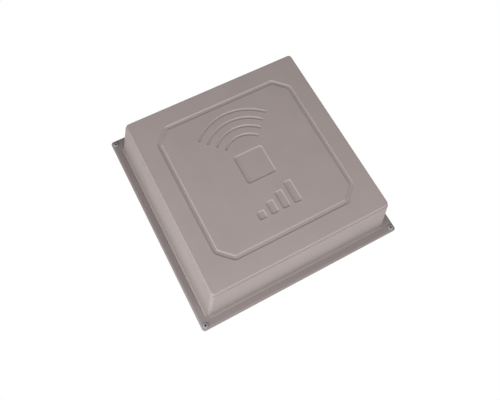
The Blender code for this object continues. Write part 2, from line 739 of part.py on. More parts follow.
def make_mast_bracket(finish):
    """The mast's bracket: it holds both cross bolts, and the U-bolt goes through its web."""
    discs = [(EAR_RADIUS, (PIVOT_Y, PIVOT_Z)), (EAR_RADIUS, (PIVOT_Y, LOCK_Z))]
    web = web_corners(MAST_WEB_BACK_Y + PAST, MAST_WEB_FRONT_Y, MAST_BRACKET_HALF_Z)
    outline = channel_outline(MAST_BRACKET_HALF_X, MAST_WEB_BACK_Y, MAST_EAR_END_Y)
    half_z = MAST_BRACKET_HALF_Z + PAST
    bracket = make_channel("mast_bracket", outline, half_z, belt(discs, web), finish)
    cross = bmesh.new()
    for height in (PIVOT_Z, LOCK_Z):
        steps = [(ROD_HOLE_RADIUS, -CUTTER_REACH), (ROD_HOLE_RADIUS, CUTTER_REACH)]
        loft(along_x(steps, (PIVOT_Y, height)), bm=cross)
    apply_boolean(bracket, cutter("mast_bracket_cross_holes", cross))
    holes = [(ROD_HOLE_RADIUS, (side * LEG_X, 0.0)) for side in (-1, 1)]
    round_holes(bracket, holes, MAST_WEB_BACK_Y + PAST, MAST_WEB_FRONT_Y - PAST)


def toothed_notch():
    """The V that grips the mast, as (x, y) points with teeth along both sides."""
    slope = math.sqrt(0.5)
    tooth_count = int((SADDLE_LIP_Y - SADDLE_APEX_Y) / slope / TOOTH_PITCH) + 1
    right = [(0.0, SADDLE_APEX_Y)]
    for tooth in range(tooth_count):
        for share, bite in ((0.5, TOOTH_DEPTH), (1.0, 0.0)):
            run = (tooth + share) * TOOTH_PITCH
            right.append(((run + bite) * slope, SADDLE_APEX_Y + (run - bite) * slope))
    right.append((right[-1][0] + PAST, SADDLE_LIP_Y + 5 * PAST))
    left = [(-x, y) for x, y in reversed(right[1:])]
    return right + left


def make_saddle(finish):
    """The pressed saddle between the mast and its bracket."""
    base_front, base_back = SADDLE_FRONT_Y, SADDLE_BASE_Y
    outer, inner = SADDLE_HALF_Z, SADDLE_HALF_Z - SHEET
    bend_y, bend_z = base_front + SADDLE_BEND, outer - SADDLE_BEND
    profile = [
        (base_front, -bend_z), (base_front, bend_z), (bend_y, outer),
        (SADDLE_LIP_Y, outer), (SADDLE_LIP_Y, inner), (base_back, inner),
        (base_back, -inner), (SADDLE_LIP_Y, -inner), (SADDLE_LIP_Y, -outer), (bend_y, -outer),
    ]
    ends = [across(profile, -SADDLE_HALF_X), across(profile, SADDLE_HALF_X)]
    saddle = add_object("saddle", loft(ends), finish)
    notch = toothed_notch()
    reach = SADDLE_HALF_Z + PAST
    apply_boolean(saddle, cutter("saddle_notch", loft([level(notch, -reach), level(notch, reach)])))
    holes = [(ROD_HOLE_RADIUS, (side * LEG_X, 0.0)) for side in (-1, 1)]
    round_holes(saddle, holes, base_front - PAST, base_back + PAST)


# ---- Clamp hardware -----------------------------------------------------------------------


def make_u_bolt(finish):
    """A round rod bent round the mast, with both legs through the saddle and the web."""
    bend_steps = 14
    spine = [(Vector((-LEG_X, LEG_END_Y, 0.0)), Vector((1.0, 0.0, 0.0)))]
    for step in range(bend_steps + 1):
        angle = math.pi * (1 - step / bend_steps)
        outward = Vector((math.cos(angle), math.sin(angle), 0.0))
        spine.append((Vector((0.0, U_BEND_Y, 0.0)) + LEG_X * outward, -outward))
    spine.append((Vector((LEG_X, LEG_END_Y, 0.0)), Vector((-1.0, 0.0, 0.0))))
    rings = []
    for middle, inward in spine:
        rings.append([
            middle + inward * across_bend + Vector((0.0, 0.0, rise))
            for across_bend, rise in circle(ROD_RADIUS, COARSE)
        ])
    add_object("u_bolt", loft(rings), finish)


def washer_steps(start, end, outer=WASHER_RADIUS):
    """A plain washer's section."""
    return [(ROD_HOLE_RADIUS, start), (outer, start), (outer, end), (ROD_HOLE_RADIUS, end)]


def nut_steps(start, end, flats=M8_FLATS, bore=ROD_HOLE_RADIUS):
    """A hexagon nut's section, chamfered where it faces out."""
    chamfer = math.copysign(NUT_CHAMFER, end - start)
    outline = hexagon(flats)
    face = hexagon(flats, limit=flats / 2)
    return [(bore, start), (outline, start), (outline, end - chamfer), (face, end), (bore, end)]


def make_u_bolt_fasteners(finish):
    """A washer and a nut on each leg, against the front of the mast bracket's web."""
    washer_y = MAST_WEB_FRONT_Y - GAP
    nut_y = washer_y - WASHER_THICKNESS - GAP
    for side, sign in (("left", -1), ("right", 1)):
        middle = (sign * LEG_X, 0.0)
        ring = along_y(washer_steps(washer_y, washer_y - WASHER_THICKNESS, LEG_WASHER_RADIUS), middle)
        add_object("u_bolt_washer_" + side, loft(ring, closed=True), finish)
        nut = along_y(nut_steps(nut_y, nut_y - M8_NUT), middle)
        add_object("u_bolt_nut_" + side, loft(nut, closed=True), finish)


def make_bolt(name, middle, head_x, end_x, finish):
    """A hexagon-head bolt along X."""
    outline = hexagon(M8_FLATS)
    face = hexagon(M8_FLATS, limit=M8_FLATS / 2)
    steps = [
        (face, head_x - M8_HEAD), (outline, head_x - M8_HEAD + NUT_CHAMFER), (outline, head_x),
        (ROD_RADIUS, head_x), (ROD_RADIUS, end_x - ROD_CHAMFER), (ROD_RADIUS - ROD_CHAMFER, end_x),
    ]
    add_object(name, loft(along_x(steps, middle)), finish)


def make_cross_bolts(finish):
    """The pivot bolt and the lock bolt with their nuts and washers."""
    ear = TILT_BRACKET_HALF_X + GAP
    pivot, lock = (PIVOT_Y, PIVOT_Z), (PIVOT_Y, LOCK_Z)
    make_bolt("pivot_bolt", pivot, -ear, PIVOT_BOLT_END, finish)
    washer = along_x(washer_steps(ear, ear + WASHER_THICKNESS), pivot)
    add_object("pivot_washer", loft(washer, closed=True), finish)
    nut_x = ear + WASHER_THICKNESS + GAP
    nut = along_x(nut_steps(nut_x, nut_x + LOCK_NUT), pivot)
    add_object("pivot_nut", loft(nut, closed=True), finish)
    washer = along_x(washer_steps(-ear, -ear - WASHER_THICKNESS, LOCK_WASHER_RADIUS), lock)
    add_object("lock_bolt_washer", loft(washer, closed=True), finish)
    make_bolt("lock_bolt", lock, -ear - WASHER_THICKNESS - GAP, LOCK_BOLT_END, finish)
    washer = along_x(washer_steps(ear, ear + WASHER_THICKNESS, LOCK_WASHER_RADIUS), lock)
    add_object("lock_washer", loft(washer, closed=True), finish)


def make_wing_nut(finish):
    """A hub with two raised wings, on the lock bolt."""
    start = TILT_BRACKET_HALF_X + GAP + WASHER_THICKNESS + GAP
    end = start + WING_HUB_LENGTH
    lock = (PIVOT_Y, LOCK_Z)
    hub = [
        (WING_HUB_RADIUS, start), (WING_HUB_RADIUS, start + WING_HUB_SHOULDER),
        (WING_HUB_TIP_RADIUS, end), (ROD_HOLE_RADIUS, end), (ROD_HOLE_RADIUS, start),
    ]
    nut = add_object("wing_nut", loft(along_x(hub, lock), closed=True), finish)
    outline = [
        (WING_ROOT, start + 0.12 * WING_RISE), (WING_WAIST, start + 0.23 * WING_RISE),
        (WING_SPAN, start + 0.61 * WING_RISE), (WING_SPAN, start + 0.85 * WING_RISE),
        (0.82 * WING_SPAN, start + WING_RISE), (WING_WAIST, start + 0.81 * WING_RISE),
        (WING_ROOT, start + 0.58 * WING_RISE),
    ]
    for name, sign in (("upper", 1), ("lower", -1)):
        sides = []
        for offset in (-WING_THICKNESS / 2, WING_THICKNESS / 2):
            y = PIVOT_Y + offset
            sides.append([Vector((x, y, LOCK_Z + sign * away)) for away, x in outline])
        apply_boolean(nut, cutter("wing_" + name, loft(sides)), "UNION")


def make_bracket_studs(stud_finish, nut_finish):
    """Headed studs from inside the back plate, and the flange nuts that hold the tilt bracket."""
    head = PLATE_FRONT_Y - GAP
    stud_end = head + STUD_LENGTH
    stud = [
        (STUD_HEAD_RADIUS, head - STUD_HEAD), (STUD_HEAD_RADIUS, head), (STUD_RADIUS, head),
        (STUD_RADIUS, stud_end - ROD_CHAMFER), (STUD_RADIUS - ROD_CHAMFER, stud_end),
    ]
    seat = TILT_WEB_BACK_Y + GAP
    nut_end = seat + FLANGE_NUT_HEIGHT
    outline = hexagon(FLANGE_NUT_FLATS)
    face = hexagon(FLANGE_NUT_FLATS, limit=FLANGE_NUT_FLATS / 2)
    nut = [
        (STUD_HOLE_RADIUS, seat), (FLANGE_NUT_RADIUS, seat),
        (FLANGE_NUT_RADIUS, seat + FLANGE_NUT_SKIRT / 2), (outline, seat + 1.6 * FLANGE_NUT_SKIRT),
        (outline, nut_end - NUT_CHAMFER), (face, nut_end), (STUD_HOLE_RADIUS, nut_end),
    ]
    for name, middle in corners(STUD_X, STUD_Z):
        add_object("bracket_stud_" + name, loft(along_y(stud, middle)), stud_finish)
        add_object("bracket_nut_" + name, loft(along_y(nut, middle), closed=True), nut_finish)


def main():
    """Builds every piece."""
    clear_scene()
    plastic = material("radome_plastic", (0.35, 0.32, 0.31), 0.55)
    rubber = material("black_rubber", (0.02, 0.02, 0.02), 0.8)
    aluminium = material("aluminium_sheet", (0.72, 0.72, 0.73), 0.4, 1.0)
    rivet_metal = material("rivet_aluminium", (0.62, 0.62, 0.68), 0.35, 1.0)
    laminate = material("board_laminate", (0.10, 0.28, 0.14), 0.5)
    nylon = material("white_nylon", (0.85, 0.85, 0.82), 0.5)
    nickel = material("nickel_plate", (0.68, 0.66, 0.62), 0.25, 1.0)
    ptfe = material("white_ptfe", (0.90, 0.90, 0.88), 0.45)
    gold = material("gold_plate", (0.85, 0.65, 0.30), 0.25, 1.0)
    zinc = material("zinc_plated_steel", (0.55, 0.56, 0.58), 0.35, 1.0)
    galvanised = material("galvanised_steel", (0.50, 0.51, 0.52), 0.5, 1.0)
    make_radome(plastic)
    make_gasket(rubber)
    make_back_plate(aluminium)
    make_rivets(rivet_metal)
    make_board(laminate)
    make_spacers(nylon)
    make_elements(aluminium, nylon)
    make_connectors(nickel, ptfe, gold, rubber, zinc)
    make_tilt_bracket(galvanised)
    make_bracket_studs(zinc, zinc)
    make_mast_bracket(galvanised)
    make_saddle(galvanised)
    make_u_bolt(zinc)
    make_u_bolt_fasteners(zinc)
    make_cross_bolts(zinc)
    make_wing_nut(zinc)


main()
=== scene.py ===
"""Looks for the flat panel antenna: fine meshes, procedural materials, studio light and camera.

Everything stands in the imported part's frame: the mast's axis is Z, the panel faces -Y and
lengths are metres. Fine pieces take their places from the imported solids' boxes.
"""

import json
import math

import bmesh
import bpy
import numpy as np
from mathutils import Matrix, Vector
from mathutils.geometry import delaunay_2d_cdt


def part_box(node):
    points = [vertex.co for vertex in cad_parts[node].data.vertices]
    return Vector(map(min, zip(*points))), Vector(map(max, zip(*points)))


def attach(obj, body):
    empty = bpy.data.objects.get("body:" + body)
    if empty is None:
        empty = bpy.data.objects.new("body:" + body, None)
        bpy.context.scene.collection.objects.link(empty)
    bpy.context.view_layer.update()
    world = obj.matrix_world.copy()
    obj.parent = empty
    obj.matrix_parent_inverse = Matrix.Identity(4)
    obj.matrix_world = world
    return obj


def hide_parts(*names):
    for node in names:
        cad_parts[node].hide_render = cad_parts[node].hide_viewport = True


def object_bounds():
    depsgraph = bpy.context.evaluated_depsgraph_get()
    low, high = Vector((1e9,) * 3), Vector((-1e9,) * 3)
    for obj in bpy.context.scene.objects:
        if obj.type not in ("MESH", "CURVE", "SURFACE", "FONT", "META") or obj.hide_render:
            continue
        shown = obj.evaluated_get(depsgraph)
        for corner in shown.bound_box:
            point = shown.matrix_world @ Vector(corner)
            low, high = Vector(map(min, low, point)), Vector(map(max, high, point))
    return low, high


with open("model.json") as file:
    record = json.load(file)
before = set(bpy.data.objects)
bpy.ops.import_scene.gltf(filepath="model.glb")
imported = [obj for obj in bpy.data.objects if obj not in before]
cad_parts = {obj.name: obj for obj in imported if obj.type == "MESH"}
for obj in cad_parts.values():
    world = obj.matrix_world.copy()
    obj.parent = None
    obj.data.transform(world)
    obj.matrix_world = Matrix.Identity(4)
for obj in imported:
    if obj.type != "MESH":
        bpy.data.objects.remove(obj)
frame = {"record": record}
cad_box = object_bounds()

CORNERS = ("top_left", "top_right", "bottom_left", "bottom_right")
SIDES = ("left", "right")
# Clearance between a head or a shoulder and the sheet that it sits on
GAP = 0.0003

# Camera, light and floor
CAMERA_PLACE = (-0.1645, -0.7591, -0.2006)
CAMERA_AHEAD = (0.1881, 0.9401, 0.2844)
CAMERA_UP = (0.4268, -0.3391, 0.8384)
CAMERA_LENS = 34.987
CAMERA_SHIFT = 0.04
FLOOR_DROP = 2.40
FLOOR_GLOW = 0.72
AMBIENT = 0.29
# Each lamp's name, direction, distance, diameter and power
LIGHTS = (
    ("light_left", (-0.92, -0.34, -0.20), 1.15, 0.6, 11.0),
    ("light_front", (0.05, -0.84, -0.54), 1.3, 0.9, 8.3),
    ("light_back", (0.30, 0.80, 0.52), 1.6, 1.2, 9.0),
)

# Cover: the walls run from the front face down to the flange
FRONT_HALF = 0.1232
FRONT_CORNER = 0.0030
SHOULDER_RADIUS = 0.0014
COVER_HEIGHT = 0.0733
COVER_WALL = 0.0025
WALL_BASE_HALF = 0.1358
WALL_BASE_CORNER = 0.0038
WALL_BASE_HEIGHT = 0.0034
WALL_BOW = 0.0005
# How fast the corners' radius grows with the half width below WALL_BASE_HEIGHT
FOOT_CORNER_GROWTH = 0.75
# The left and right walls (SIDE) turn into the top and bottom ones (END) over SIDE_BLEND, and
# the bead at the walls' foot dies away within CORNER_FADE of the corners' diagonals.
SIDE_BLEND = 0.012
CORNER_FADE = 0.012
# The slight ledge under the shoulder, as (half width, depth below the face)
LEDGE_SIDE = (
    (0.1250, 0.0046), (0.1250, 0.0057), (0.1252, 0.0060), (0.1254, 0.00605), (0.1257, 0.0061),
    (0.1260, 0.0062), (0.1262, 0.0066), (0.1263, 0.0078),
)
LEDGE_END = (
    (0.1250, 0.0046), (0.1250, 0.0058), (0.1251, 0.0062), (0.1254, 0.0062), (0.1258, 0.00605),
    (0.1261, 0.0061), (0.1262, 0.0066), (0.1263, 0.0078),
)
# The bead at the walls' foot, as (half width, height above the flange)
FOOT_SIDE = (
    (0.1359, 0.0027), (0.1361, 0.0022), (0.1365, 0.0019), (0.1370, 0.0018), (0.1375, 0.0015),
    (0.1380, 0.0011), (0.1384, 0.0006), (0.1387, 0.0002), (0.1391, -0.0001), (0.1396, -0.0002),
    (0.1402, -0.0001), (0.1408, 0.0),
)
FOOT_END = (
    (0.1359, 0.0024), (0.1361, 0.0014), (0.1365, 0.0009), (0.1370, 0.0008), (0.1375, 0.0009),
    (0.1380, 0.0007), (0.1384, 0.0004), (0.1387, 0.0001), (0.1391, -0.0001), (0.1396, -0.0002),
    (0.1402, -0.0001), (0.1408, 0.0),
)
FLANGE_HALF = 0.1500
FLANGE_CORNER = 0.0042
FLANGE_THICKNESS = 0.0025
LIP_WIDTH = 0.0034
LIP_FALL = 0.0020
LIP_ROUNDNESS = 1.7

# Relief in the front face: TOP and FLOOR are a groove's widths at the face and at its floor, and
# GUARD is the flat rim that is kept round every groove
RELIEF_DEPTH = 0.0012
RELIEF_GUARD = 0.0004
OCTAGON_HALF = 0.0969
OCTAGON_CHAMFER = 0.0176
OCTAGON_FILLET = 0.0050
OCTAGON_BOW = 0.00005
OCTAGON_TOP = 0.0070
OCTAGON_FLOOR = 0.0030
ARC_COUNT = 4
ARC_CENTRE_Z = 0.0114
ARC_FIRST_RADIUS = 0.0328
ARC_STEP = 0.0123
ARC_HALF_ANGLE = math.radians(44)
ARC_TOP = 0.0042
ARC_FLOOR = 0.0010
POCKET_HALF = 0.0202
POCKET_SLOPE = 0.0018
POCKET_CORNER = 0.0012
BAR_COUNT = 4
BAR_WIDTH = 0.0098
BAR_PITCH = 0.0166
BAR_FOOT_Z = -0.0690
BAR_FIRST_HEIGHT = 0.0100
BAR_HEIGHT_STEP = 0.0068
BAR_SLOPE = 0.0018
BAR_CORNER = 0.0010

# Plate, gasket and rivets: SHEET_EDGE is how far a sheet's edges are rounded
SHEET_EDGE = 0.0004
PLATE_CORNER = 0.005
GASKET_INSIDE = 0.1375
RIVET_OFFSET = 0.1438
RIVET_PLACES = [(x * RIVET_OFFSET, z * RIVET_OFFSET) for x in (-1, 1) for z in (-1, 1)]
RIVET_HOLE = 0.0023
RIVET_HEAD = 0.0013
RIVET_BULB = 0.0032
STUD_HOLE = 0.0034
SOCKET_HOLE = 0.0082

# Radiating parts and connectors
BOARD_CORNER = 0.003
COPPER_HALF = 0.0011
PATCH_CHAMFER = 0.006
SOCKET_THREAD = 0.0079
SOCKET_PITCH = 0.001058
SOCKET_BORE = 0.0043
SOCKET_FLATS = 0.0190

# Brackets and saddle: places on the ears are (y, z)
PIVOT = (-0.0750, 0.0200)
LOCK = (-0.0750, -0.0200)
TILT_LIMIT = math.radians(25)
ROD_RADIUS = 0.0040
ROD_HOLE = 0.0044
EAR_RADIUS = 0.0130
BRACKET_SHEET = 0.0030
BRACKET_BEND = 0.0040
SADDLE_SHEET = 0.0025
SADDLE_BEND = 0.0032
MAST_RADIUS = 0.025
TOOTH_PITCH = 0.0030
TOOTH_DEPTH = 0.0012

# Threads, nuts and bolts: a thread's depth is a share of its pitch, and the chamfered face's
# radius is a share of the size across the flats
THREAD_DEPTH = 0.56
HEX_FACE = 0.475
HEX_CHAMFER = math.radians(30)
M8_PITCH = 0.00125
M8_FLATS = 0.0130
M8_BORE = 0.00406
M8_HEAD = 0.0053
M6_PITCH = 0.0010
M6_FLATS = 0.0100
M6_BORE = 0.00306
M6_RADIUS = 0.0030
LEG_THREAD = 0.046

# Cover plastic: painted shade darkens the colour along Y, towards the walls' foot and the flange, between
# the two limits below
PLASTIC_DARK = (0.325, 0.273, 0.263)
PLASTIC_LIGHT = (0.338, 0.285, 0.275)
PLASTIC_PAINTED_SHADE = (0.213, 0.181, 0.174)
PLASTIC_SPECK = (0.262, 0.221, 0.213)
PAINTED_SHADE_FROM = -0.1720
PAINTED_SHADE_TO = -0.1170


# ---- Meshes ----


class Shape:
    """Points and faces gathered part by part, and welded where parts share points."""

    def __init__(self):
        self.points = []
        self.faces = []

    def add(self, points, faces):
        """Adds points with faces that number them from 0."""
        start = len(self.points)
        self.points.extend(tuple(point) for point in points)
        self.faces.extend(tuple(start + index for index in face) for face in faces)

    def bands(self, loops, closed=False):
        """Quads between neighbouring closed loops of equal counts."""
        count = len(loops[0])
        pairs = list(range(len(loops) - 1)) + ([len(loops) - 1] if closed else [])
        faces = []
        for row in pairs:
            below, above = row * count, (row + 1) % len(loops) * count
            for index in range(count):
                after = (index + 1) % count
                faces.append((below + index, below + after, above + after, above + index))
        self.add([point for loop in loops for point in loop], faces)

    def cap(self, loop):
        """One flat face over a convex loop."""
        self.add(loop, [range(len(loop))])

    def region(self, loops, place, extra=()):
        """Triangles over the plane area inside the loops by the even-odd rule, put in place."""
        flat = [Vector(point) for loop in loops for point in loop]
        edges, start = [], 0
        for loop in loops:
            count = len(loop)
            edges += [(start + i, start + (i + 1) % count) for i in range(count)]
            start += count
        flat += [Vector(point) for point in extra]
        points, _, faces, _, _, _ = delaunay_2d_cdt(flat, edges, [], 0, 1e-7)
        plane = np.array([tuple(point) for point in points])
        middles = np.array([plane[list(face)].mean(axis=0) for face in faces])
        inside = np.zeros(len(faces), bool)
        for loop in loops:
            inside ^= within(middles, np.array(loop))
        kept = [face for face, keep in zip(faces, inside) if keep]
        self.add([place(x, y) for x, y in plane], kept)

    def object(self, name, sharp=35.0):
        """A welded, outward-facing, smooth-shaded object with sharp edges by angle."""
        mesh = bpy.data.meshes.new(name)
        mesh.from_pydata(self.points, [], self.faces)
        bm = bmesh.new()
        bm.from_mesh(mesh)
        bmesh.ops.remove_doubles(bm, verts=bm.verts, dist=1e-6)
        bmesh.ops.delete(bm, geom=[v for v in bm.verts if not v.link_faces], context="VERTS")
        bmesh.ops.recalc_face_normals(bm, faces=bm.faces)
        bm.to_mesh(mesh)
        bm.free()
        mesh.shade_smooth()
        mesh.set_sharp_from_angle(angle=math.radians(sharp))
        made = bpy.data.objects.new(name, mesh)
        bpy.context.scene.collection.objects.link(made)
        level = made.modifiers.new("level", "WEIGHTED_NORMAL")
        level.keep_sharp = True
        return made


def within(points, loop):
    """Which plane points lie inside a closed loop."""
    inside = np.zeros(len(points), bool)
    x, y = points[:, 0], points[:, 1]
    for (x0, y0), (x1, y1) in zip(loop, np.roll(loop, -1, axis=0)):
        crosses = (y0 > y) != (y1 > y)
        if y0 != y1:
            inside ^= crosses & (x < x0 + (y - y0) * (x1 - x0) / (y1 - y0))
    return inside


def rounded_loop(corners, radius, arc_steps=8, side_steps=24, bow=0.0):
    """A polygon with filleted corners, anticlockwise, its straight sides bowed out a little."""
    count = len(corners)
    arcs = []
    for index, corner in enumerate(corners):
        here = np.array(corner, float)
        before = np.array(corners[index - 1], float) - here
        after = np.array(corners[(index + 1) % count], float) - here
        before /= np.linalg.norm(before)
        after /= np.linalg.norm(after)
        half = math.acos(max(-1.0, min(1.0, float(before @ after)))) / 2
        towards = (before + after) / np.linalg.norm(before + after)
        centre = here + towards * radius / math.sin(half)
        swing = math.pi / 2 - half
        away = math.atan2(-towards[1], -towards[0])
        arcs.append([
            centre + radius * np.array([math.cos(angle), math.sin(angle)])
            for angle in np.linspace(away - swing, away + swing, arc_steps + 1)
        ])
    points = []
    for index, arc in enumerate(arcs):
        points += arc
        start, end = arc[-1], arcs[(index + 1) % count][0]
        along = end - start
        outward = np.array([along[1], -along[0]]) / np.linalg.norm(along)
        for step in range(1, side_steps):
            share = step / side_steps
            points.append(start + along * share + outward * bow * math.sin(math.pi * share) ** 2)
    return [tuple(point) for point in points]


def rounded_rectangle(half_x, half_z, corner, middle=(0.0, 0.0), **steps):
    """A rounded rectangle loop round a middle."""
    mx, mz = middle
    corners = [
        (mx + half_x, mz + half_z), (mx - half_x, mz + half_z),
        (mx - half_x, mz - half_z), (mx + half_x, mz - half_z),
    ]
    return rounded_loop(corners, corner, **steps)


def circle(radius, sides, middle=(0.0, 0.0)):
    """Points round a circle."""
    angles = np.arange(sides) * 2 * math.pi / sides
    return [(middle[0] + radius * math.cos(a), middle[1] + radius * math.sin(a)) for a in angles]


def grown(loop, distance):
    """A loop with every point moved outwards, or inwards where the distance is negative."""
    points = np.array(loop, float)
    along = np.roll(points, -1, axis=0) - np.roll(points, 1, axis=0)
    outward = np.stack([along[:, 1], -along[:, 0]], axis=1)
    outward /= np.linalg.norm(outward, axis=1, keepdims=True)
    area = np.sum(points[:, 0] * np.roll(points[:, 1], -1) - np.roll(points[:, 0], -1) * points[:, 1])
    return [tuple(point) for point in points + outward * distance * math.copysign(1.0, area)]


def smooth(share):
    """An easing from 0 to 1 that is level at both ends."""
    share = min(1.0, max(0.0, share))
    return share * share * (3 - 2 * share)


# ---- Pieces on their bodies ----

record = frame["record"]
body_of = {node: body for body, nodes in record["behaviour"]["bodies"].items() for node in nodes}


def settle(piece, node, finish, hides=True):
    """Gives a fine piece its finish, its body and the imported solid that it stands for."""
    piece.data.materials.clear()
    piece.data.materials.append(finish)
    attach(piece, body_of[node])
    if hides:
        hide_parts(node)
    return piece


# ---- Radome ----


def octagon_loop(offset):
    """The octagon's line moved outwards by an offset, with filleted corners."""
    half = OCTAGON_HALF + offset
    near = half - OCTAGON_CHAMFER - offset * (2 - math.sqrt(2))
    corners = [
        (half, near), (near, half), (-near, half), (-half, near),
        (-half, -near), (-near, -half), (near, -half), (half, -near),
    ]
    return rounded_loop(corners, OCTAGON_FILLET + offset, arc_steps=5, side_steps=20, bow=OCTAGON_BOW)


def arc_loop(radius, reach):
    """The outline of a round-ended stroke of half width reach along one signal arc."""
    def hung(centre, length, angle):
        return (centre[0] + length * math.sin(angle), centre[1] + length * math.cos(angle))

    centre = (0.0, ARC_CENTRE_Z)
    points = []
    for end in (-1, 1):
        for angle in np.linspace(-end * ARC_HALF_ANGLE, end * ARC_HALF_ANGLE, 29):
            points.append(hung(centre, radius - end * reach, angle))
        tip = hung(centre, radius, end * ARC_HALF_ANGLE)
        turn = 0.0 if end > 0 else math.pi
        for step in range(1, 10):
            angle = end * ARC_HALF_ANGLE + math.pi + turn - math.pi * step / 10
            points.append(hung(tip, reach, angle))
    return points


def relief_steps(top, floor, steps=7):
    """Half widths and depths across one sloping side, from the face down to the floor."""
    rows = [(top / 2 + RELIEF_GUARD, 0.0)]
    for step in range(steps + 1):
        share = step / steps
        rows.append((top / 2 + (floor - top) / 2 * share, RELIEF_DEPTH * smooth(share)))
    return rows


def mark_rows():
    """Loops and depths of the marks inside the octagon: signal arcs, pocket and signal bars."""
    marks = []
    for index in range(ARC_COUNT):
        radius = ARC_FIRST_RADIUS + index * ARC_STEP
        steps = relief_steps(ARC_TOP, ARC_FLOOR)
        marks.append([(arc_loop(radius, reach), depth) for reach, depth in steps])
    rows = []
    for offset, depth in relief_steps(POCKET_SLOPE, -POCKET_SLOPE):
        half = POCKET_HALF + offset
        rows.append((rounded_rectangle(half, half, POCKET_CORNER + POCKET_SLOPE + offset), depth))
    marks.append(rows)
    for index in range(BAR_COUNT):
        tall = BAR_FIRST_HEIGHT + index * BAR_HEIGHT_STEP
        middle = ((index - (BAR_COUNT - 1) / 2) * BAR_PITCH, BAR_FOOT_Z + tall / 2)
        rows = []
        for offset, depth in relief_steps(BAR_SLOPE, -BAR_SLOPE):
            corner = BAR_CORNER + BAR_SLOPE / 2 + offset
            size = (BAR_WIDTH / 2 + offset, tall / 2 + offset)
            rows.append((rounded_rectangle(*size, corner, middle, side_steps=6), depth))
        marks.append(rows)
    return marks


def wall_profiles():
    """Half widths and heights down the left and right walls, and down the top and bottom ones."""
    ledge_half, ledge_depth = LEDGE_SIDE[0]
    draft = math.atan2(ledge_half - FRONT_HALF - SHOULDER_RADIUS, ledge_depth - SHOULDER_RADIUS)
    shoulder = []
    for step in range(9):
        angle = (math.pi / 2 - draft) * step / 8
        half = FRONT_HALF + SHOULDER_RADIUS * math.sin(angle)
        shoulder.append((half, COVER_HEIGHT - SHOULDER_RADIUS * (1 - math.cos(angle))))
    top_half, top_depth = LEDGE_SIDE[-1]
    top_height = COVER_HEIGHT - top_depth
    wall = []
    for step in range(1, 15):
        share = step / 14
        half = top_half + (WALL_BASE_HALF - top_half) * share
        wall.append((half, top_height + (WALL_BASE_HEIGHT - top_height) * share))
    profiles = []
    for ledge, foot in ((LEDGE_SIDE, FOOT_SIDE), (LEDGE_END, FOOT_END)):
        step_down = [(half, COVER_HEIGHT - depth) for half, depth in ledge]
        profiles.append(shoulder + step_down + wall + list(foot))
    return profiles


def wall_corner(half, height):
    """The radius of the walls' upright corners, at a half width and a height."""
    if height <= WALL_BASE_HEIGHT:
        return WALL_BASE_CORNER + (half - WALL_BASE_HALF) * FOOT_CORNER_GROWTH
    drop = (COVER_HEIGHT - height) / COVER_HEIGHT
    corner = FRONT_CORNER + min(half - FRONT_HALF, SHOULDER_RADIUS)
    return corner + (WALL_BASE_CORNER - FRONT_CORNER - SHOULDER_RADIUS) * drop


def wall_loop(side, end):
    """(x, height, z) round the walls, from one (half width, height) of each profile."""
    half_x, height_x = side
    half_z, height_z = end
    drop = (COVER_HEIGHT - height_x) / COVER_HEIGHT
    bow = WALL_BOW * math.sin(math.pi * min(1.0, drop * 1.02)) if drop < 0.98 else 0.0
    points = []
    for x, z in rounded_rectangle(half_x, half_z, wall_corner(half_x, height_x), bow=bow):
        past_corner = abs(z) - abs(x)
        height = height_x + (height_z - height_x) * smooth(0.5 + past_corner / SIDE_BLEND)
        if height_x <= FOOT_SIDE[0][1]:
            height *= smooth(abs(past_corner) / CORNER_FADE)
        points.append((x, height, z))
    return points


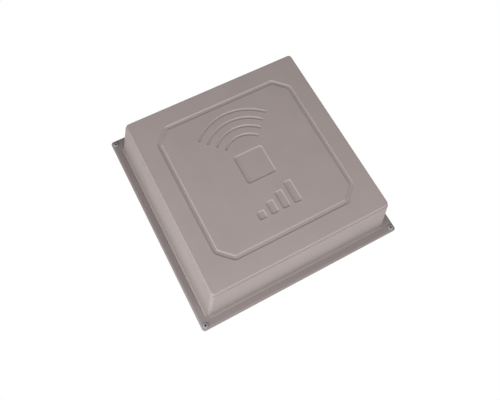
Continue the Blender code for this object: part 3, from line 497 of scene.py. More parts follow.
def make_radome(finish):
    """The formed cover: fine relief, shoulder, ledge, drafted walls, bead, flange and lip."""
    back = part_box("radome")[1].y
    flange_front = back - FLANGE_THICKNESS
    face = flange_front - COVER_HEIGHT
    shape = Shape()

    def at(loop, height):
        return [(x, flange_front - height, z) for x, z in loop]

    def on_face(depth):
        return lambda x, z: (x, face + depth, z)

    def sunk(rows):
        shape.bands([[on_face(depth)(x, z) for x, z in loop] for loop, depth in rows])

    # The octagonal groove and the marks inside it
    slope = relief_steps(OCTAGON_TOP, OCTAGON_FLOOR)
    groove = [(octagon_loop(offset), depth) for offset, depth in slope]
    groove += [(octagon_loop(-offset), depth) for offset, depth in reversed(slope)]
    sunk(groove)
    marks = mark_rows()
    for rows in marks:
        sunk(rows)
        shape.region([rows[-1][0]], on_face(rows[-1][1]))
    shape.region([groove[-1][0]] + [rows[0][0] for rows in marks], on_face(0.0))

    # The walls, and the face between their shoulder and the groove
    shape.bands([
        [(x, flange_front - height, z) for x, height, z in wall_loop(side, end)]
        for side, end in zip(*wall_profiles())
    ])
    edge = rounded_rectangle(FRONT_HALF, FRONT_HALF, FRONT_CORNER)
    shape.region([edge, groove[0][0]], on_face(0.0))

    # The flange with its rivet holes and rounded lip, then the back and the hollow
    foot_half, foot_height = FOOT_SIDE[-1]
    inner = rounded_rectangle(foot_half, foot_half, wall_corner(foot_half, foot_height))
    lip = []
    for step in range(11):
        share = math.sin(math.pi / 2 * step / 10)
        fall = LIP_FALL * (1 - (1 - share ** LIP_ROUNDNESS) ** (1 / LIP_ROUNDNESS))
        lip.append((FLANGE_HALF - LIP_WIDTH * (1 - share), -fall))
    lip += [(FLANGE_HALF, -0.0022), (FLANGE_HALF - 0.0001, -0.0024), (FLANGE_HALF - 0.0004, -0.0025)]

    def flange_loop(half):
        return rounded_rectangle(half, half, FLANGE_CORNER - (FLANGE_HALF - half))

    holes = [circle(RIVET_HOLE, 24, place) for place in RIVET_PLACES]
    shape.region([flange_loop(lip[0][0]), inner] + holes, lambda x, z: (x, flange_front, z))
    shape.bands([at(flange_loop(half), height) for half, height in lip])
    for hole in holes:
        shape.bands([at(hole, 0.0), at(hole, -FLANGE_THICKNESS)])
    base_half = WALL_BASE_HALF - COVER_WALL
    base_corner = WALL_BASE_CORNER - COVER_WALL
    mouth = rounded_rectangle(base_half, base_half, base_corner)
    shape.region([flange_loop(lip[-1][0]), mouth] + holes, lambda x, z: (x, back, z))
    ceiling = COVER_HEIGHT - COVER_WALL
    hollow = (
        (base_half, base_corner, -FLANGE_THICKNESS),
        (FRONT_HALF + 0.0004, FRONT_CORNER, ceiling - 0.0010),
        (FRONT_HALF - 0.0006, FRONT_CORNER - 0.0010, ceiling),
    )
    loops = [at(rounded_rectangle(half, half, corner), height) for half, corner, height in hollow]
    shape.bands(loops)
    shape.cap(loops[-1])
    settle(shape.object("radome_cover", sharp=50.0), "radome", finish)


# ---- Turned and threaded forms ----

# The axes that pieces stand on, as (across, up, along) directions
ALONG = {
    "+X": (Vector((0, 1, 0)), Vector((0, 0, 1)), Vector((1, 0, 0))),
    "+Y": (Vector((0, 0, 1)), Vector((1, 0, 0)), Vector((0, 1, 0))),
    "-Y": (Vector((1, 0, 0)), Vector((0, 0, 1)), Vector((0, -1, 0))),
}


def ring(radius, height, sides):
    """Points round an axis: radius and height are each one number or a row of numbers."""
    angles = np.arange(sides) * 2 * math.pi / sides
    radius = np.broadcast_to(radius, sides)
    height = np.broadcast_to(height, sides)
    return np.stack([radius * np.cos(angles), radius * np.sin(angles), height], axis=1)


def stood(points, origin, axis):
    """Points with their own axis along Z, stood on an origin along a named axis."""
    across, up, along = ALONG[axis]
    return [origin + across * float(x) + up * float(y) + along * float(h) for x, y, h in points]


def turn(shape, steps, origin, axis, sides=48, closed=False):
    """A turned form from (radius, height) steps, open at its ends and capped, or closed."""
    loops = [stood(ring(radius, height, sides), origin, axis) for radius, height in steps]
    shape.bands(loops, closed=closed)
    if not closed:
        shape.cap(loops[0])
        shape.cap(loops[-1])


def hexagon_of(flats, sides):
    """A hexagon's radii round its axis, its chamfered face's radius, and the chamfer's falls."""
    angles = np.arange(sides) * 2 * math.pi / sides
    sixth = math.pi / 3
    from_flat = (angles + sixth / 2) % sixth - sixth / 2
    hexagon = np.minimum(flats / 2 / np.cos(from_flat), 0.99 * flats / math.sqrt(3))
    face = HEX_FACE * flats
    return hexagon, face, np.maximum(hexagon - face, 0.0) * math.tan(HEX_CHAMFER)


def nut_steps(flats, height, bore, sides, flange=0.0, skirt=0.0):
    """A hexagon nut's rings: both faces cone-chamfered, the bore countersunk, perhaps flanged."""
    hexagon, face, fall = hexagon_of(flats, sides)
    sink = 0.10 * bore
    start = [(bore, sink), (bore + sink, 0.0)]
    if flange:
        start += [
            (flange - 0.0002, 0.0), (flange, 0.0002), (flange, 0.5 * skirt), (flange - 0.0003, 0.7 * skirt),
            (hexagon, skirt + (flange - hexagon) * 0.25),
        ]
    else:
        start += [(face, 0.0), (hexagon, fall)]
    return start + [(hexagon, height - fall), (face, height), (bore + sink, height), (bore, height - sink)]


def washer_steps(inner, outer, thickness):
    """A stamped washer's rings, with slightly rounded edges."""
    soft = 0.15 * thickness
    return [
        (inner, soft), (inner + soft, 0.0), (outer - 1.6 * soft, 0.0), (outer - 0.5 * soft, 0.5 * soft),
        (outer, 1.6 * soft), (outer, thickness - soft), (outer - soft, thickness),
        (inner + 1.6 * soft, thickness), (inner, thickness - 1.6 * soft),
    ]


def thread_cut(along, angles, pitch):
    """Share of the thread's depth that is cut away at places along and round a rod."""
    phase = (along / pitch - angles / (2 * math.pi)) % 1.0
    return np.clip((np.abs(2 * phase - 1) - 0.12) / 0.72, 0.0, 1.0)


def rod_rings(radius, pitch, start, end, thread_to, sides=24, chamfer=0.0007, per_pitch=8):
    """Rings of a rod along its axis, threaded from its end back to thread_to."""
    depth = THREAD_DEPTH * pitch
    angles = np.arange(sides) * 2 * math.pi / sides
    count = int((end - thread_to) / pitch * per_pitch)
    heights = [start] if start < thread_to - 2 * pitch else []
    heights += list(np.linspace(max(start, thread_to - 2 * pitch), end, count + 2 * per_pitch))
    rings = []
    for height in heights:
        cut = depth * thread_cut(height, angles, pitch)
        cut *= smooth((height - thread_to + 2 * pitch) / (2 * pitch))
        tip = radius - chamfer + (end - height)
        rings.append((np.minimum(radius - cut, tip), height))
    return rings


def bolt_rings(radius, pitch, flats, head, length, thread_to, sides):
    """A hexagon bolt from its head's top, which is at minus head, to its threaded end."""
    hexagon, face, fall = hexagon_of(flats, sides)
    rings = [
        (0.55 * face, -head + 0.0002), (0.62 * face, -head), (face, -head), (hexagon, -head + fall),
        (hexagon, -0.0005), (face, -0.0004), (face, 0.0), (radius + 0.0003, 0.0), (radius, 0.0004),
    ]
    return rings + rod_rings(radius, pitch, 0.0008, length, thread_to, sides=sides, per_pitch=6)


# ---- Sheet metal ----


def sheet(shape, outline, holes, thickness, place, edge=SHEET_EDGE, extra=()):
    """A sheet with rounded edges; place puts a plane point and its height in the sheet."""
    rows = (
        (edge, thickness), (0.3 * edge, thickness - 0.3 * edge), (0.0, thickness - edge),
        (0.0, edge), (0.3 * edge, 0.3 * edge), (edge, 0.0),
    )
    for loop, inwards in [(outline, -1)] + [(hole, 1) for hole in holes]:
        shape.bands([
            [place(x, y, height) for x, y in (grown(loop, inwards * inset) if inset else loop)]
            for inset, height in rows
        ])
    inner = [grown(outline, -edge)] + [grown(hole, edge) for hole in holes]
    for height in (0.0, thickness):
        shape.region(inner, lambda x, y: place(x, y, height), extra)


def resampled(loop, spacing, bulge=0.00002):
    """A loop with its long sides divided, and bulged a hair so that no three points line up."""
    points = []
    area = sum(one[0] * two[1] - two[0] * one[1] for one, two in zip(loop, loop[1:] + loop[:1]))
    outward = math.copysign(bulge, area)
    for one, two in zip(loop, loop[1:] + loop[:1]):
        length = math.hypot(two[0] - one[0], two[1] - one[1])
        count = max(1, math.ceil(length / spacing))
        across = ((two[1] - one[1]) / length * outward, (one[0] - two[0]) / length * outward)
        for step in range(count):
            share = step / count
            lift = 4 * share * (1 - share)
            points.append(tuple(a + (b - a) * share + c * lift for a, b, c in zip(one, two, across)))
    return points


def hull(points):
    """The convex outline round plane points, anticlockwise."""
    points = sorted(set(points))
    halves = []
    for order in (points, points[::-1]):
        chain = []
        for point in order:
            while len(chain) > 1 and bend_of(chain[-2], chain[-1], point) <= 1e-10:
                chain.pop()
            chain.append(point)
        halves += chain[:-1]
    return halves


def bend_of(one, two, three):
    """Twice the signed area of a triangle."""
    return (two[0] - one[0]) * (three[1] - one[1]) - (two[1] - one[1]) * (three[0] - one[0])


class Fold:
    """A channel folded from a flat sheet: a web, two bends and two ears.

    A flat point is (along, across): along runs over one ear, bend, web, bend and ear.
    """

    def __init__(self, half_width, thickness, radius):
        self.half_width, self.thickness, self.radius = half_width, thickness, radius
        self.web_end = half_width - radius
        self.bend = (radius - thickness / 2) * math.pi / 2
        self.ear_start = self.web_end + self.bend

    def ear(self, rise):
        """How far along the flat sheet a place on an ear is, from its rise over the web's outside."""
        return self.ear_start + rise - self.radius

    def place(self, along, height):
        """(offset from the channel's middle, rise over the web's outer face) of a sheet point."""
        side, far = math.copysign(1.0, along), abs(along)
        inner = self.radius - self.thickness + height
        if far <= self.web_end:
            return along, self.thickness - height
        if far >= self.ear_start:
            return side * (self.half_width - self.thickness + height), self.radius + far - self.ear_start
        angle = (far - self.web_end) / self.bend * math.pi / 2
        return side * (self.web_end + inner * math.sin(angle)), self.radius - inner * math.cos(angle)

    def bend_points(self, reach):
        """Extra points that let the flat sheet follow its bends."""
        alongs = [self.web_end + self.bend * step / 8 for step in range(9)]
        count = int(2 * reach / 0.0025)
        return [
            (side * along, -reach + 2 * reach * i / count)
            for side in (-1, 1) for along in alongs for i in range(count + 1)
        ]


# ---- Materials ----


class Finish:
    """A Principled material with its nodes at hand."""

    def __init__(self, name, metallic=0.0, specular=0.5):
        self.material = bpy.data.materials.new(name)
        self.material.use_nodes = True
        self.tree = self.material.node_tree
        self.shader = self.tree.nodes["Principled BSDF"]
        self.fill(self.shader, {"Metallic": metallic, "Specular IOR Level": specular})
        self.coordinates = self.node("TexCoord", {}, "Object")

    def fill(self, node, values):
        """Sets a node's inputs, each to a number, to a row of numbers or from another's output."""
        for name, value in values.items():
            if isinstance(value, bpy.types.NodeSocket):
                self.tree.links.new(value, node.inputs[name])
            else:
                node.inputs[name].default_value = value

    def node(self, kind, values, output):
        """Adds a node with its inputs filled, and gives back one of its outputs."""
        made = self.tree.nodes.new("ShaderNode" + kind)
        self.fill(made, values)
        return made.outputs[output]

    def noise(self, scale, detail=3.0, stretch=None):
        """Fractal noise, in cells for each metre, perhaps scaled along each axis."""
        vector = self.coordinates
        if stretch:
            vector = self.node("Mapping", {"Vector": vector, "Scale": stretch}, "Vector")
        values = {"Vector": vector, "Scale": scale, "Detail": detail, "Roughness": 0.55}
        return self.node("TexNoise", values, "Fac")

    def cells(self, scale, output="Color"):
        """Voronoi cells: one random colour for each, or the distance from each one's middle."""
        return self.node("TexVoronoi", {"Vector": self.coordinates, "Scale": scale}, output)

    def height(self, axis):
        """One of the object's own coordinates."""
        return self.node("SeparateXYZ", {"Vector": self.coordinates}, axis)

    def ranged(self, value, low, high, start=0.3, end=0.7):
        """A value from start to end spread over low to high."""
        values = {"Value": value, "From Min": start, "From Max": end, "To Min": low, "To Max": high}
        return self.node("MapRange", values, "Result")

    def mixed(self, share, one, other):
        """A colour between two, each a colour or a socket."""
        node = self.tree.nodes.new("ShaderNodeMix")
        node.data_type = "RGBA"
        values = {"Factor": share}
        for place, colour in ((6, one), (7, other)):
            values[place] = colour if isinstance(colour, bpy.types.NodeSocket) else (*colour, 1.0)
        self.fill(node, values)
        return node.outputs[2]

    def bump(self, height, distance, strength, under=None):
        """A normal bumped by a height, on top of another bump's normal where one is given."""
        values = {"Distance": distance, "Strength": strength, "Height": height}
        if under is not None:
            values["Normal"] = under
        return self.node("Bump", values, "Normal")

    def wear(self, colour=None, roughness=None, normal=None):
        """Links what varies over the surface to the shader, and gives back the material."""
        outputs = {"Base Color": colour, "Roughness": roughness, "Normal": normal}
        self.fill(self.shader, {name: output for name, output in outputs.items() if output is not None})
        return self.material


def radome_plastic():
    """Warm grey formed plastic with a fine moulded grain, a faint mottle, and painted shade that darkens it
    towards the flange.
    """
    made = Finish("radome_plastic_finish", specular=0.42)
    mottle = made.noise(28.0, 4.0)
    speckle = made.noise(1400.0, 2.0)
    colour = made.mixed(made.ranged(mottle, 0.0, 1.0), PLASTIC_DARK, PLASTIC_LIGHT)
    colour = made.mixed(made.ranged(speckle, 0.0, 0.12), colour, PLASTIC_SPECK)
    # Painted shade: the colour darkens along Y towards the walls' foot and the flange, where the cover's own
    # shade falls
    painted_shade = made.ranged(made.height("Y"), 0.0, 1.0, PAINTED_SHADE_FROM, PAINTED_SHADE_TO)
    colour = made.mixed(painted_shade, colour, made.mixed(painted_shade, colour, PLASTIC_PAINTED_SHADE))
    grain = made.bump(made.cells(1100.0, "Distance"), 0.00006, 0.35)
    normal = made.bump(speckle, 0.00004, 0.4, grain)
    return made.wear(colour, made.ranged(mottle, 0.46, 0.56), normal)


def rubber():
    """Black sealing rubber with a dull, slightly pitted face."""
    made = Finish("black_rubber_finish", specular=0.35)
    pits = made.noise(900.0, 4.0)
    colour = made.mixed(made.ranged(pits, 0.0, 1.0), (0.012, 0.012, 0.013), (0.030, 0.030, 0.031))
    return made.wear(colour, made.ranged(pits, 0.62, 0.82), made.bump(pits, 0.00005, 0.5))


def rolled_aluminium():
    """Mill-finish sheet: fine rolling lines along X under a soft, cloudy sheen."""
    made = Finish("aluminium_sheet_finish", metallic=1.0)
    lines = made.noise(1.0, 3.0, stretch=(7.0, 900.0, 900.0))
    clouds = made.noise(14.0, 4.0)
    colour = made.mixed(made.ranged(clouds, 0.0, 1.0), (0.66, 0.665, 0.68), (0.78, 0.785, 0.79))
    colour = made.mixed(made.ranged(lines, 0.0, 0.35), colour, (0.50, 0.505, 0.52))
    roughness = made.ranged(lines, 0.30, 0.48)
    return made.wear(colour, roughness, made.bump(lines, 0.00003, 0.35))


def plated(name, light, dark, low, high, metallic=1.0):
    """A plated metal with cloudy tone, fine grain and uneven gloss."""
    made = Finish(name, metallic=metallic)
    clouds = made.noise(95.0, 4.0)
    fine = made.noise(2080.0, 3.0)
    colour = made.mixed(made.ranged(clouds, 0.0, 1.0), dark, light)
    return made.wear(colour, made.ranged(clouds, low, high), made.bump(fine, 0.00002, 0.35))


def galvanised():
    """Hot-dip galvanised steel with its crystal spangle and slightly uneven coat."""
    made = Finish("galvanised_steel_finish", metallic=0.92)
    spangle = made.cells(190.0)
    fine = made.cells(520.0)
    coat = made.noise(60.0, 3.0)
    shade = made.mixed(made.ranged(coat, 0.25, 0.6), spangle, fine)
    colour = made.mixed(made.ranged(shade, 0.0, 1.0, 0.1, 0.9), (0.42, 0.43, 0.44), (0.60, 0.61, 0.63))
    roughness = made.ranged(shade, 0.34, 0.56, 0.1, 0.9)
    return made.wear(colour, roughness, made.bump(coat, 0.00012, 0.4))


def polymer(name, light, dark, low, high):
    """A plain moulded or turned polymer with a faint mottle and tool grain."""
    made = Finish(name, specular=0.45)
    mottle = made.noise(160.0, 3.0)
    colour = made.mixed(made.ranged(mottle, 0.0, 1.0), dark, light)
    return made.wear(colour, made.ranged(mottle, low, high), made.bump(mottle, 0.00003, 0.3))


def laminate():
    """Green solder mask over a woven glass board."""
    made = Finish("board_laminate_finish", specular=0.5)
    warp = made.noise(1.0, 1.0, stretch=(1600.0, 1.0, 220.0))
    weft = made.noise(1.0, 1.0, stretch=(220.0, 1.0, 1600.0))
    weave = made.mixed(warp, weft, (0.5, 0.5, 0.5))
    colour = made.mixed(made.ranged(weave, 0.0, 1.0), (0.020, 0.110, 0.050), (0.035, 0.165, 0.075))
    return made.wear(colour, made.ranged(weave, 0.22, 0.34), made.bump(weave, 0.00003, 0.4))


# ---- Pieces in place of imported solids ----


def seat_of(node, axis):
    """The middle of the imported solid's face that an axis starts from."""
    low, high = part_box(node)
    seat = (low + high) / 2
    letter = "XYZ".index(axis[1])
    seat[letter] = low[letter] if axis[0] == "+" else high[letter]
    return seat


def extents(node):
    """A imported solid's size along X, Y and Z."""
    low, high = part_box(node)
    return [end - start for start, end in zip(low, high)]


def hole_for(node, radius, sides=32):
    """A round hole in an upright sheet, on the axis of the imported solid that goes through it."""
    seat = seat_of(node, "+Y")
    return circle(radius, sides, (seat.x, seat.z))


def turned(name, node, steps, finish, axis, seat=None, hides=True, **options):
    """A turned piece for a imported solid, from (radius, height) steps above its seat."""
    shape = Shape()
    turn(shape, steps, seat_of(node, axis) if seat is None else seat, axis, **options)
    return settle(shape.object(name), node, finish, hides)


def plate(name, node, outline, holes, finish, edge=SHEET_EDGE):
    """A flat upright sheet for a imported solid, as thick as the solid."""
    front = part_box(node)[0].y
    shape = Shape()
    sheet(shape, outline, holes, extents(node)[1], lambda x, z, height: (x, front + height, z), edge)
    settle(shape.object(name), node, finish)


def folded(name, node, fold, ear, half, holes, place, finish, edge=SHEET_EDGE):
    """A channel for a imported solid, from one ear's edge on the flat sheet and its half length."""
    right = [(fold.web_end, -half)] + ear + [(fold.web_end, half)]
    outline = resampled(right + [(-along, across) for along, across in reversed(right)], 0.0010)
    shape = Shape()
    sheet(shape, outline, holes, fold.thickness, place, edge, fold.bend_points(half - 0.003))
    settle(shape.object(name), node, finish)


def even_rectangle(half_x, half_z, corner):
    """A rounded rectangle with long sides divided evenly."""
    return resampled(rounded_rectangle(half_x, half_z, corner, side_steps=1), 0.02)


# ---- Plate, gasket and rivets ----


def make_panel_back(aluminium, black):
    """The closing plate and its gasket, with every hole that the fasteners go through."""
    rivets = [circle(RIVET_HOLE, 32, place) for place in RIVET_PLACES]
    studs = [hole_for("bracket_stud_" + corner, STUD_HOLE) for corner in CORNERS]
    sockets = [hole_for("connector_body_" + side, SOCKET_HOLE, 48) for side in SIDES]
    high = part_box("back_plate")[1]
    outline = even_rectangle(high.x, high.z, PLATE_CORNER)
    plate("closing_plate", "back_plate", outline, rivets + studs + sockets, aluminium)
    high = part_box("flange_gasket")[1]
    outline = even_rectangle(high.x, high.z, PLATE_CORNER)
    inside = even_rectangle(GASKET_INSIDE, GASKET_INSIDE, WALL_BASE_CORNER)
    plate("flange_seal", "flange_gasket", outline, rivets + [inside], black, edge=0.00025)


def make_rivets(metal, steel):
    """Blind rivets with a domed head, and the broken stem deep in each one's hole."""
    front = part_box("radome")[1].y - FLANGE_THICKNESS - GAP
    dome = [
        (0.0011, -0.0010), (0.0013, -0.0008), (0.0013, RIVET_HEAD - 0.00020),
        (0.00145, RIVET_HEAD - 0.00002), (0.0018, RIVET_HEAD), (0.0023, RIVET_HEAD - 0.0001),
        (0.0029, RIVET_HEAD - 0.00030), (0.0034, RIVET_HEAD - 0.00058), (0.0038, RIVET_HEAD - 0.00090),
        (0.0040, 0.00018), (0.0040, 0.00005), (0.0039, 0.0), (0.0020, 0.0),
    ]
    tip = [
        (0.0006, -0.0009), (0.00125, -0.0008), (0.00125, -0.0001), (0.0009, 0.0001), (0.0003, 0.00015),
    ]
    for corner in CORNERS:
        node = "rivet_" + corner
        seat = seat_of(node, "-Y")
        behind = front - seat.y + RIVET_BULB
        seat.y = front
        bulb = [
            (0.0020, behind), (0.0028, behind - 0.0001), (0.0031, behind - 0.0008),
            (0.0030, behind - 0.0018), (0.0024, behind - 0.0029), (0.0014, behind - RIVET_BULB),
        ]
        turned("blind_rivet_" + corner, node, dome + bulb, metal, "-Y", seat, sides=40)
        turned("rivet_stem_" + corner, node, tip, steel, "-Y", seat, hides=False, sides=20)


# ---- Radiating parts ----


def feed_routes():
    """Each copper line's bends, as (x, z): from a socket's contact to a patch's post."""
    for side, sign in zip(SIDES, (-1, 1)):
        contact = seat_of("connector_contact_" + side, "+Y")
        for corner in CORNERS:
            patch = seat_of("patch_post_" + corner, "+Y")
            lane, level = 0.012 * sign, patch.z - 0.010
            yield [
                (contact.x, contact.z + 0.002), (contact.x, -0.088), (lane, -0.088), (lane, level),
                (patch.x - math.copysign(0.009, patch.x), level),
            ]


def make_board(board_finish, copper):
    """The feed board, and its copper lines in strips that overlap at the bends."""
    low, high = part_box("feed_board")
    holes = [hole_for("board_spacer_" + corner, 0.0020, 20) for corner in CORNERS]
    holes += [hole_for("connector_contact_" + side, 0.0009, 12) for side in SIDES]
    outline = even_rectangle(high.x, high.z, BOARD_CORNER)
    plate("feed_circuit_board", "feed_board", outline, holes, board_finish, edge=0.00015)
    lines = Shape()
    strips = [pair for route in feed_routes() for pair in zip(route, route[1:])]
    for count, (one, two) in enumerate(strips, start=1):
        along = Vector(two) - Vector(one)
        across = Vector((-along.y, along.x)).normalized() * COPPER_HALF
        past = along.normalized() * COPPER_HALF
        a, b = Vector(one) - past, Vector(two) + past
        strip = [tuple(a - across), tuple(b - across), tuple(b + across), tuple(a + across)]
        rises = (0.00002 + 0.000002 * count, 0.00008 + 0.000002 * count)
        rows = [[(x, low.y - rise, z) for x, z in strip] for rise in rises]
        lines.bands(rows)
        lines.cap(rows[0])
        lines.cap(rows[1])
    settle(lines.object("feed_lines"), "feed_board", copper, hides=False)


def make_element(corner, metal, nylon):
    """One corner's board spacer, its two stacked patches and the post that carries them."""
    node = "board_spacer_" + corner
    tall = extents(node)[1]
    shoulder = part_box(node)[1].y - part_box("feed_board")[1].y - GAP
    steps = [
        (0.0037, 0.0), (0.0040, 0.0003), (0.0040, 0.0012), (0.0034, 0.0020), (0.0034, shoulder - 0.0012),
        (0.0040, shoulder - 0.0006), (0.0038, shoulder), (0.0017, shoulder), (0.0017, tall - 0.0012),
        (0.0019, tall - 0.0008), (0.0010, tall),
    ]
    turned("spacer_" + corner, node, steps, nylon, "-Y", sides=32)

    node = "driven_patch_" + corner
    seat = seat_of(node, "+Y")
    half = extents(node)[0] / 2
    near = half - PATCH_CHAMFER
    cut = [
        (half, -near), (half, near), (near, half), (-near, half),
        (-half, near), (-half, -near), (-near, -half), (near, -half),
    ]
    outline = resampled([(seat.x + x, seat.z + z) for x, z in cut], 0.002)
    plate("square_patch_" + corner, node, outline, [hole_for(node, 0.0033)], metal, edge=0.0002)

    node = "parasitic_patch_" + corner
    outline = hole_for(node, extents(node)[0] / 2, 96)
    plate("round_patch_" + corner, node, outline, [hole_for(node, 0.0021, 24)], metal, edge=0.0002)

    node = "patch_post_" + corner
    foot = seat_of(node, "-Y").y
    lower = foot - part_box("driven_patch_" + corner)[1].y - GAP
    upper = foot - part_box("parasitic_patch_" + corner)[1].y - GAP
    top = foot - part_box(node)[0].y
    steps = [
        (0.0042, 0.0), (0.0045, 0.0003), (0.0045, lower - 0.0003), (0.0042, lower), (0.0030, lower),
        (0.0030, upper - 0.0003), (0.0028, upper), (0.0018, upper), (0.0018, top - 0.0010),
        (0.0020, top - 0.0006), (0.0012, top),
    ]
    turned("element_post_" + corner, node, steps, nylon, "-Y", sides=32)


# ---- Connectors ----


def make_connector(side, nickel, ptfe, gold, black, zinc):
    """A screw-on coaxial socket: threaded shell, insulator, contact, seal, washer and nut."""
    node = "connector_body_" + side
    seat = seat_of(node, "+Y")
    mouth = extents(node)[1]
    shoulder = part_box("connector_seal_" + side)[1].y + GAP - seat.y
    flange = shoulder + 0.0030
    hexagon, face, fall = hexagon_of(SOCKET_FLATS, 96)
    outer = rod_rings(SOCKET_THREAD, SOCKET_PITCH, flange + 0.0012, mouth, flange + 0.0030, sides=96)
    inner = rod_rings(SOCKET_THREAD, SOCKET_PITCH, 0.0, shoulder, 0.0, sides=96)
    bore = [
        (SOCKET_BORE, 0.0), (SOCKET_BORE, mouth - 0.0046), (0.0050, mouth - 0.0040),
        (0.0052, mouth - 0.0008), (0.0058, mouth - 0.0001), (0.0062, mouth),
    ]
    collar = [
        (0.0074, flange + 0.0008), (0.0074, flange), (face, flange),
        (hexagon, flange - fall), (hexagon, shoulder), (SOCKET_THREAD, shoulder),
    ]
    inside = [(radius, height) for radius, height in inner[::-1] if height < shoulder - 0.0008]
    steps = bore + outer[::-1] + collar + inside
    turned("socket_shell_" + side, node, steps, nickel, "+Y", sides=96, closed=True)

    node = "connector_insulator_" + side
    tall = extents(node)[1]
    steps = [
        (0.0018, 0.0), (0.0039, 0.0), (0.0040, 0.0002), (0.0040, tall - 0.0015), (0.0036, tall - 0.0010),
        (0.0036, tall - 0.0002), (0.0034, tall), (0.0022, tall), (0.0018, tall - 0.0004),
    ]
    turned("socket_insulator_" + side, node, steps, ptfe, "+Y", closed=True)

    node = "connector_contact_" + side
    tall = extents(node)[1]
    pin = seat.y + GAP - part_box(node)[0].y
    steps = [
        (0.0004, 0.0), (0.0006, 0.0002), (0.0006, pin), (0.0015, pin), (0.0015, tall - 0.0008),
        (0.0014, tall - 0.0002), (0.0012, tall), (0.0009, tall), (0.0008, tall - 0.0003),
        (0.0008, tall - 0.0050),
    ]
    turned("socket_contact_" + side, node, steps, gold, "+Y", sides=32)

    node = "connector_seal_" + side
    low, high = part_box(node)
    radius, thick = (high.x - low.x) / 2 - 0.00055, (high.y - low.y) / 2
    angles = np.arange(14) * 2 * math.pi / 14
    steps = [(radius + thick * math.cos(angle), thick * math.sin(angle)) for angle in angles]
    turned("socket_seal_" + side, node, steps, black, "+Y", (low + high) / 2, sides=64, closed=True)

    node = "connector_washer_" + side
    wide, tall, _ = extents(node)
    steps = washer_steps(SOCKET_THREAD + 0.0003, wide / 2, tall)
    turned("socket_washer_" + side, node, steps, zinc, "-Y", sides=64, closed=True)
    node = "connector_nut_" + side
    steps = nut_steps(SOCKET_FLATS, extents(node)[1], SOCKET_THREAD + 0.0002, 96)
    turned("socket_nut_" + side, node, steps, nickel, "-Y", sides=96, closed=True)


# ---- Brackets and saddle ----


def slot_loop(middle, radius, half_angle, half_width, steps=24):
    """A round-ended slot along an arc that hangs below its middle, as (y, z) points."""
    def hung(centre, length, angle):
        return (centre[0] + length * math.sin(angle), centre[1] - length * math.cos(angle))

    points = []
    for end, start in ((1, 0.0), (-1, math.pi)):
        for step in range(steps + 1):
            angle = end * half_angle * (2 * step / steps - 1)
            points.append(hung(middle, radius + end * half_width, angle))
        centre = hung(middle, radius, end * half_angle)
        for step in range(1, 12):
            points.append(hung(centre, half_width, start + math.pi * step / 12 + end * half_angle))
    return points


def make_bracket(name, node, sign, bosses, ear_holes, web_holes, finish):
    """A folded bracket with ears towards +Y or -Y by its sign, round bosses given as (y, z)."""
    low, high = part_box(node)
    face = low.y if sign > 0 else high.y
    fold = Fold(high.x, BRACKET_SHEET, BRACKET_BEND)
    side = [(face + sign * rise, z) for rise in (0.0, BRACKET_SHEET) for z in (low.z, high.z)]
    for boss in bosses:
        side += circle(EAR_RADIUS, 72, boss)

    def unfolded(y, z):
        return (fold.ear(sign * (y - face)), z)

    def place(along, across, height):
        offset, rise = fold.place(along, height)
        return (offset, face + sign * rise, across)

    ear = [unfolded(y, z) for y, z in hull(side) if sign * (y - face) > fold.radius + 0.0001]
    ear.sort(key=lambda point: math.atan2(point[1], point[0] - fold.ear_start))
    holes = list(web_holes)
    for hole in ear_holes:
        flat = [unfolded(y, z) for y, z in hole]
        holes += [flat, [(-along, z) for along, z in flat]]
    folded(name, node, fold, ear, high.z, holes, place, finish)


def make_brackets(galvanised_steel):
    """The mast bracket and the tilt bracket, each folded from one sheet."""
    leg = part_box("u_bolt")[1].x - ROD_RADIUS
    pivot_hole, lock_hole = (circle(ROD_HOLE, 40, place) for place in (PIVOT, LOCK))
    leg_holes = [circle(ROD_HOLE, 40, (side * leg, 0.0)) for side in (-1, 1)]
    make_bracket(
        "folded_mast_bracket", "mast_bracket", -1, [PIVOT, LOCK], [pivot_hole, lock_hole], leg_holes,
        galvanised_steel,
    )
    reach = PIVOT[1] - LOCK[1]
    swings = [
        (PIVOT[0] + side * reach * math.sin(TILT_LIMIT), PIVOT[1] - reach * math.cos(TILT_LIMIT))
        for side in (-1, 1)
    ]
    slot = slot_loop(PIVOT, reach, TILT_LIMIT, ROD_HOLE)
    stud_holes = [hole_for("bracket_stud_" + corner, STUD_HOLE) for corner in CORNERS]
    make_bracket(
        "folded_tilt_bracket", "tilt_bracket", 1, [PIVOT, LOCK] + swings, [pivot_hole, slot], stud_holes,
        galvanised_steel,
    )


def make_saddle(galvanised_steel):
    """The pressed saddle: a channel whose two lips are cut to a toothed V."""
    low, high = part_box("saddle")
    front, lip, half_x = low.y, high.y, high.x
    fold = Fold(high.z, SADDLE_SHEET, SADDLE_BEND)
    apex, slope = -MAST_RADIUS * math.sqrt(2), math.sqrt(0.5)
    right = [(0.0, apex)]
    tooth = 0
    while right[-1][1] < lip - 2 * TOOTH_PITCH * slope:
        for share, depth in ((0.42, TOOTH_DEPTH), (0.58, TOOTH_DEPTH), (1.0, 0.0)):
            run = (tooth + share) * TOOTH_PITCH
            right.append(((run + depth) * slope, apex + (run - depth) * slope))
        tooth += 1
    right.append((right[-1][0] + (lip - right[-1][1]), lip))
    notch = [(-x, y) for x, y in right[:0:-1]] + right
    soft = 0.003
    turns = np.linspace(0, math.pi / 2, 7)
    rounding = [(soft * (1 - math.cos(a)), soft * (1 - math.sin(a))) for a in turns]
    edge = [(-half_x + x, lip - y) for x, y in rounding] + notch
    edge += [(half_x - x, lip - y) for x, y in reversed(rounding)]
    ear = [(fold.ear(y - front), x) for x, y in edge]
    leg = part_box("u_bolt")[1].x - ROD_RADIUS
    holes = [circle(ROD_HOLE, 40, (0.0, side * leg)) for side in (-1, 1)]

    def place(along, across, height):
        offset, rise = fold.place(along, height)
        return (across, front + rise, offset)

    folded("toothed_saddle", "saddle", fold, ear, half_x, holes, place, galvanised_steel, edge=0.0002)


# ---- Clamp hardware ----


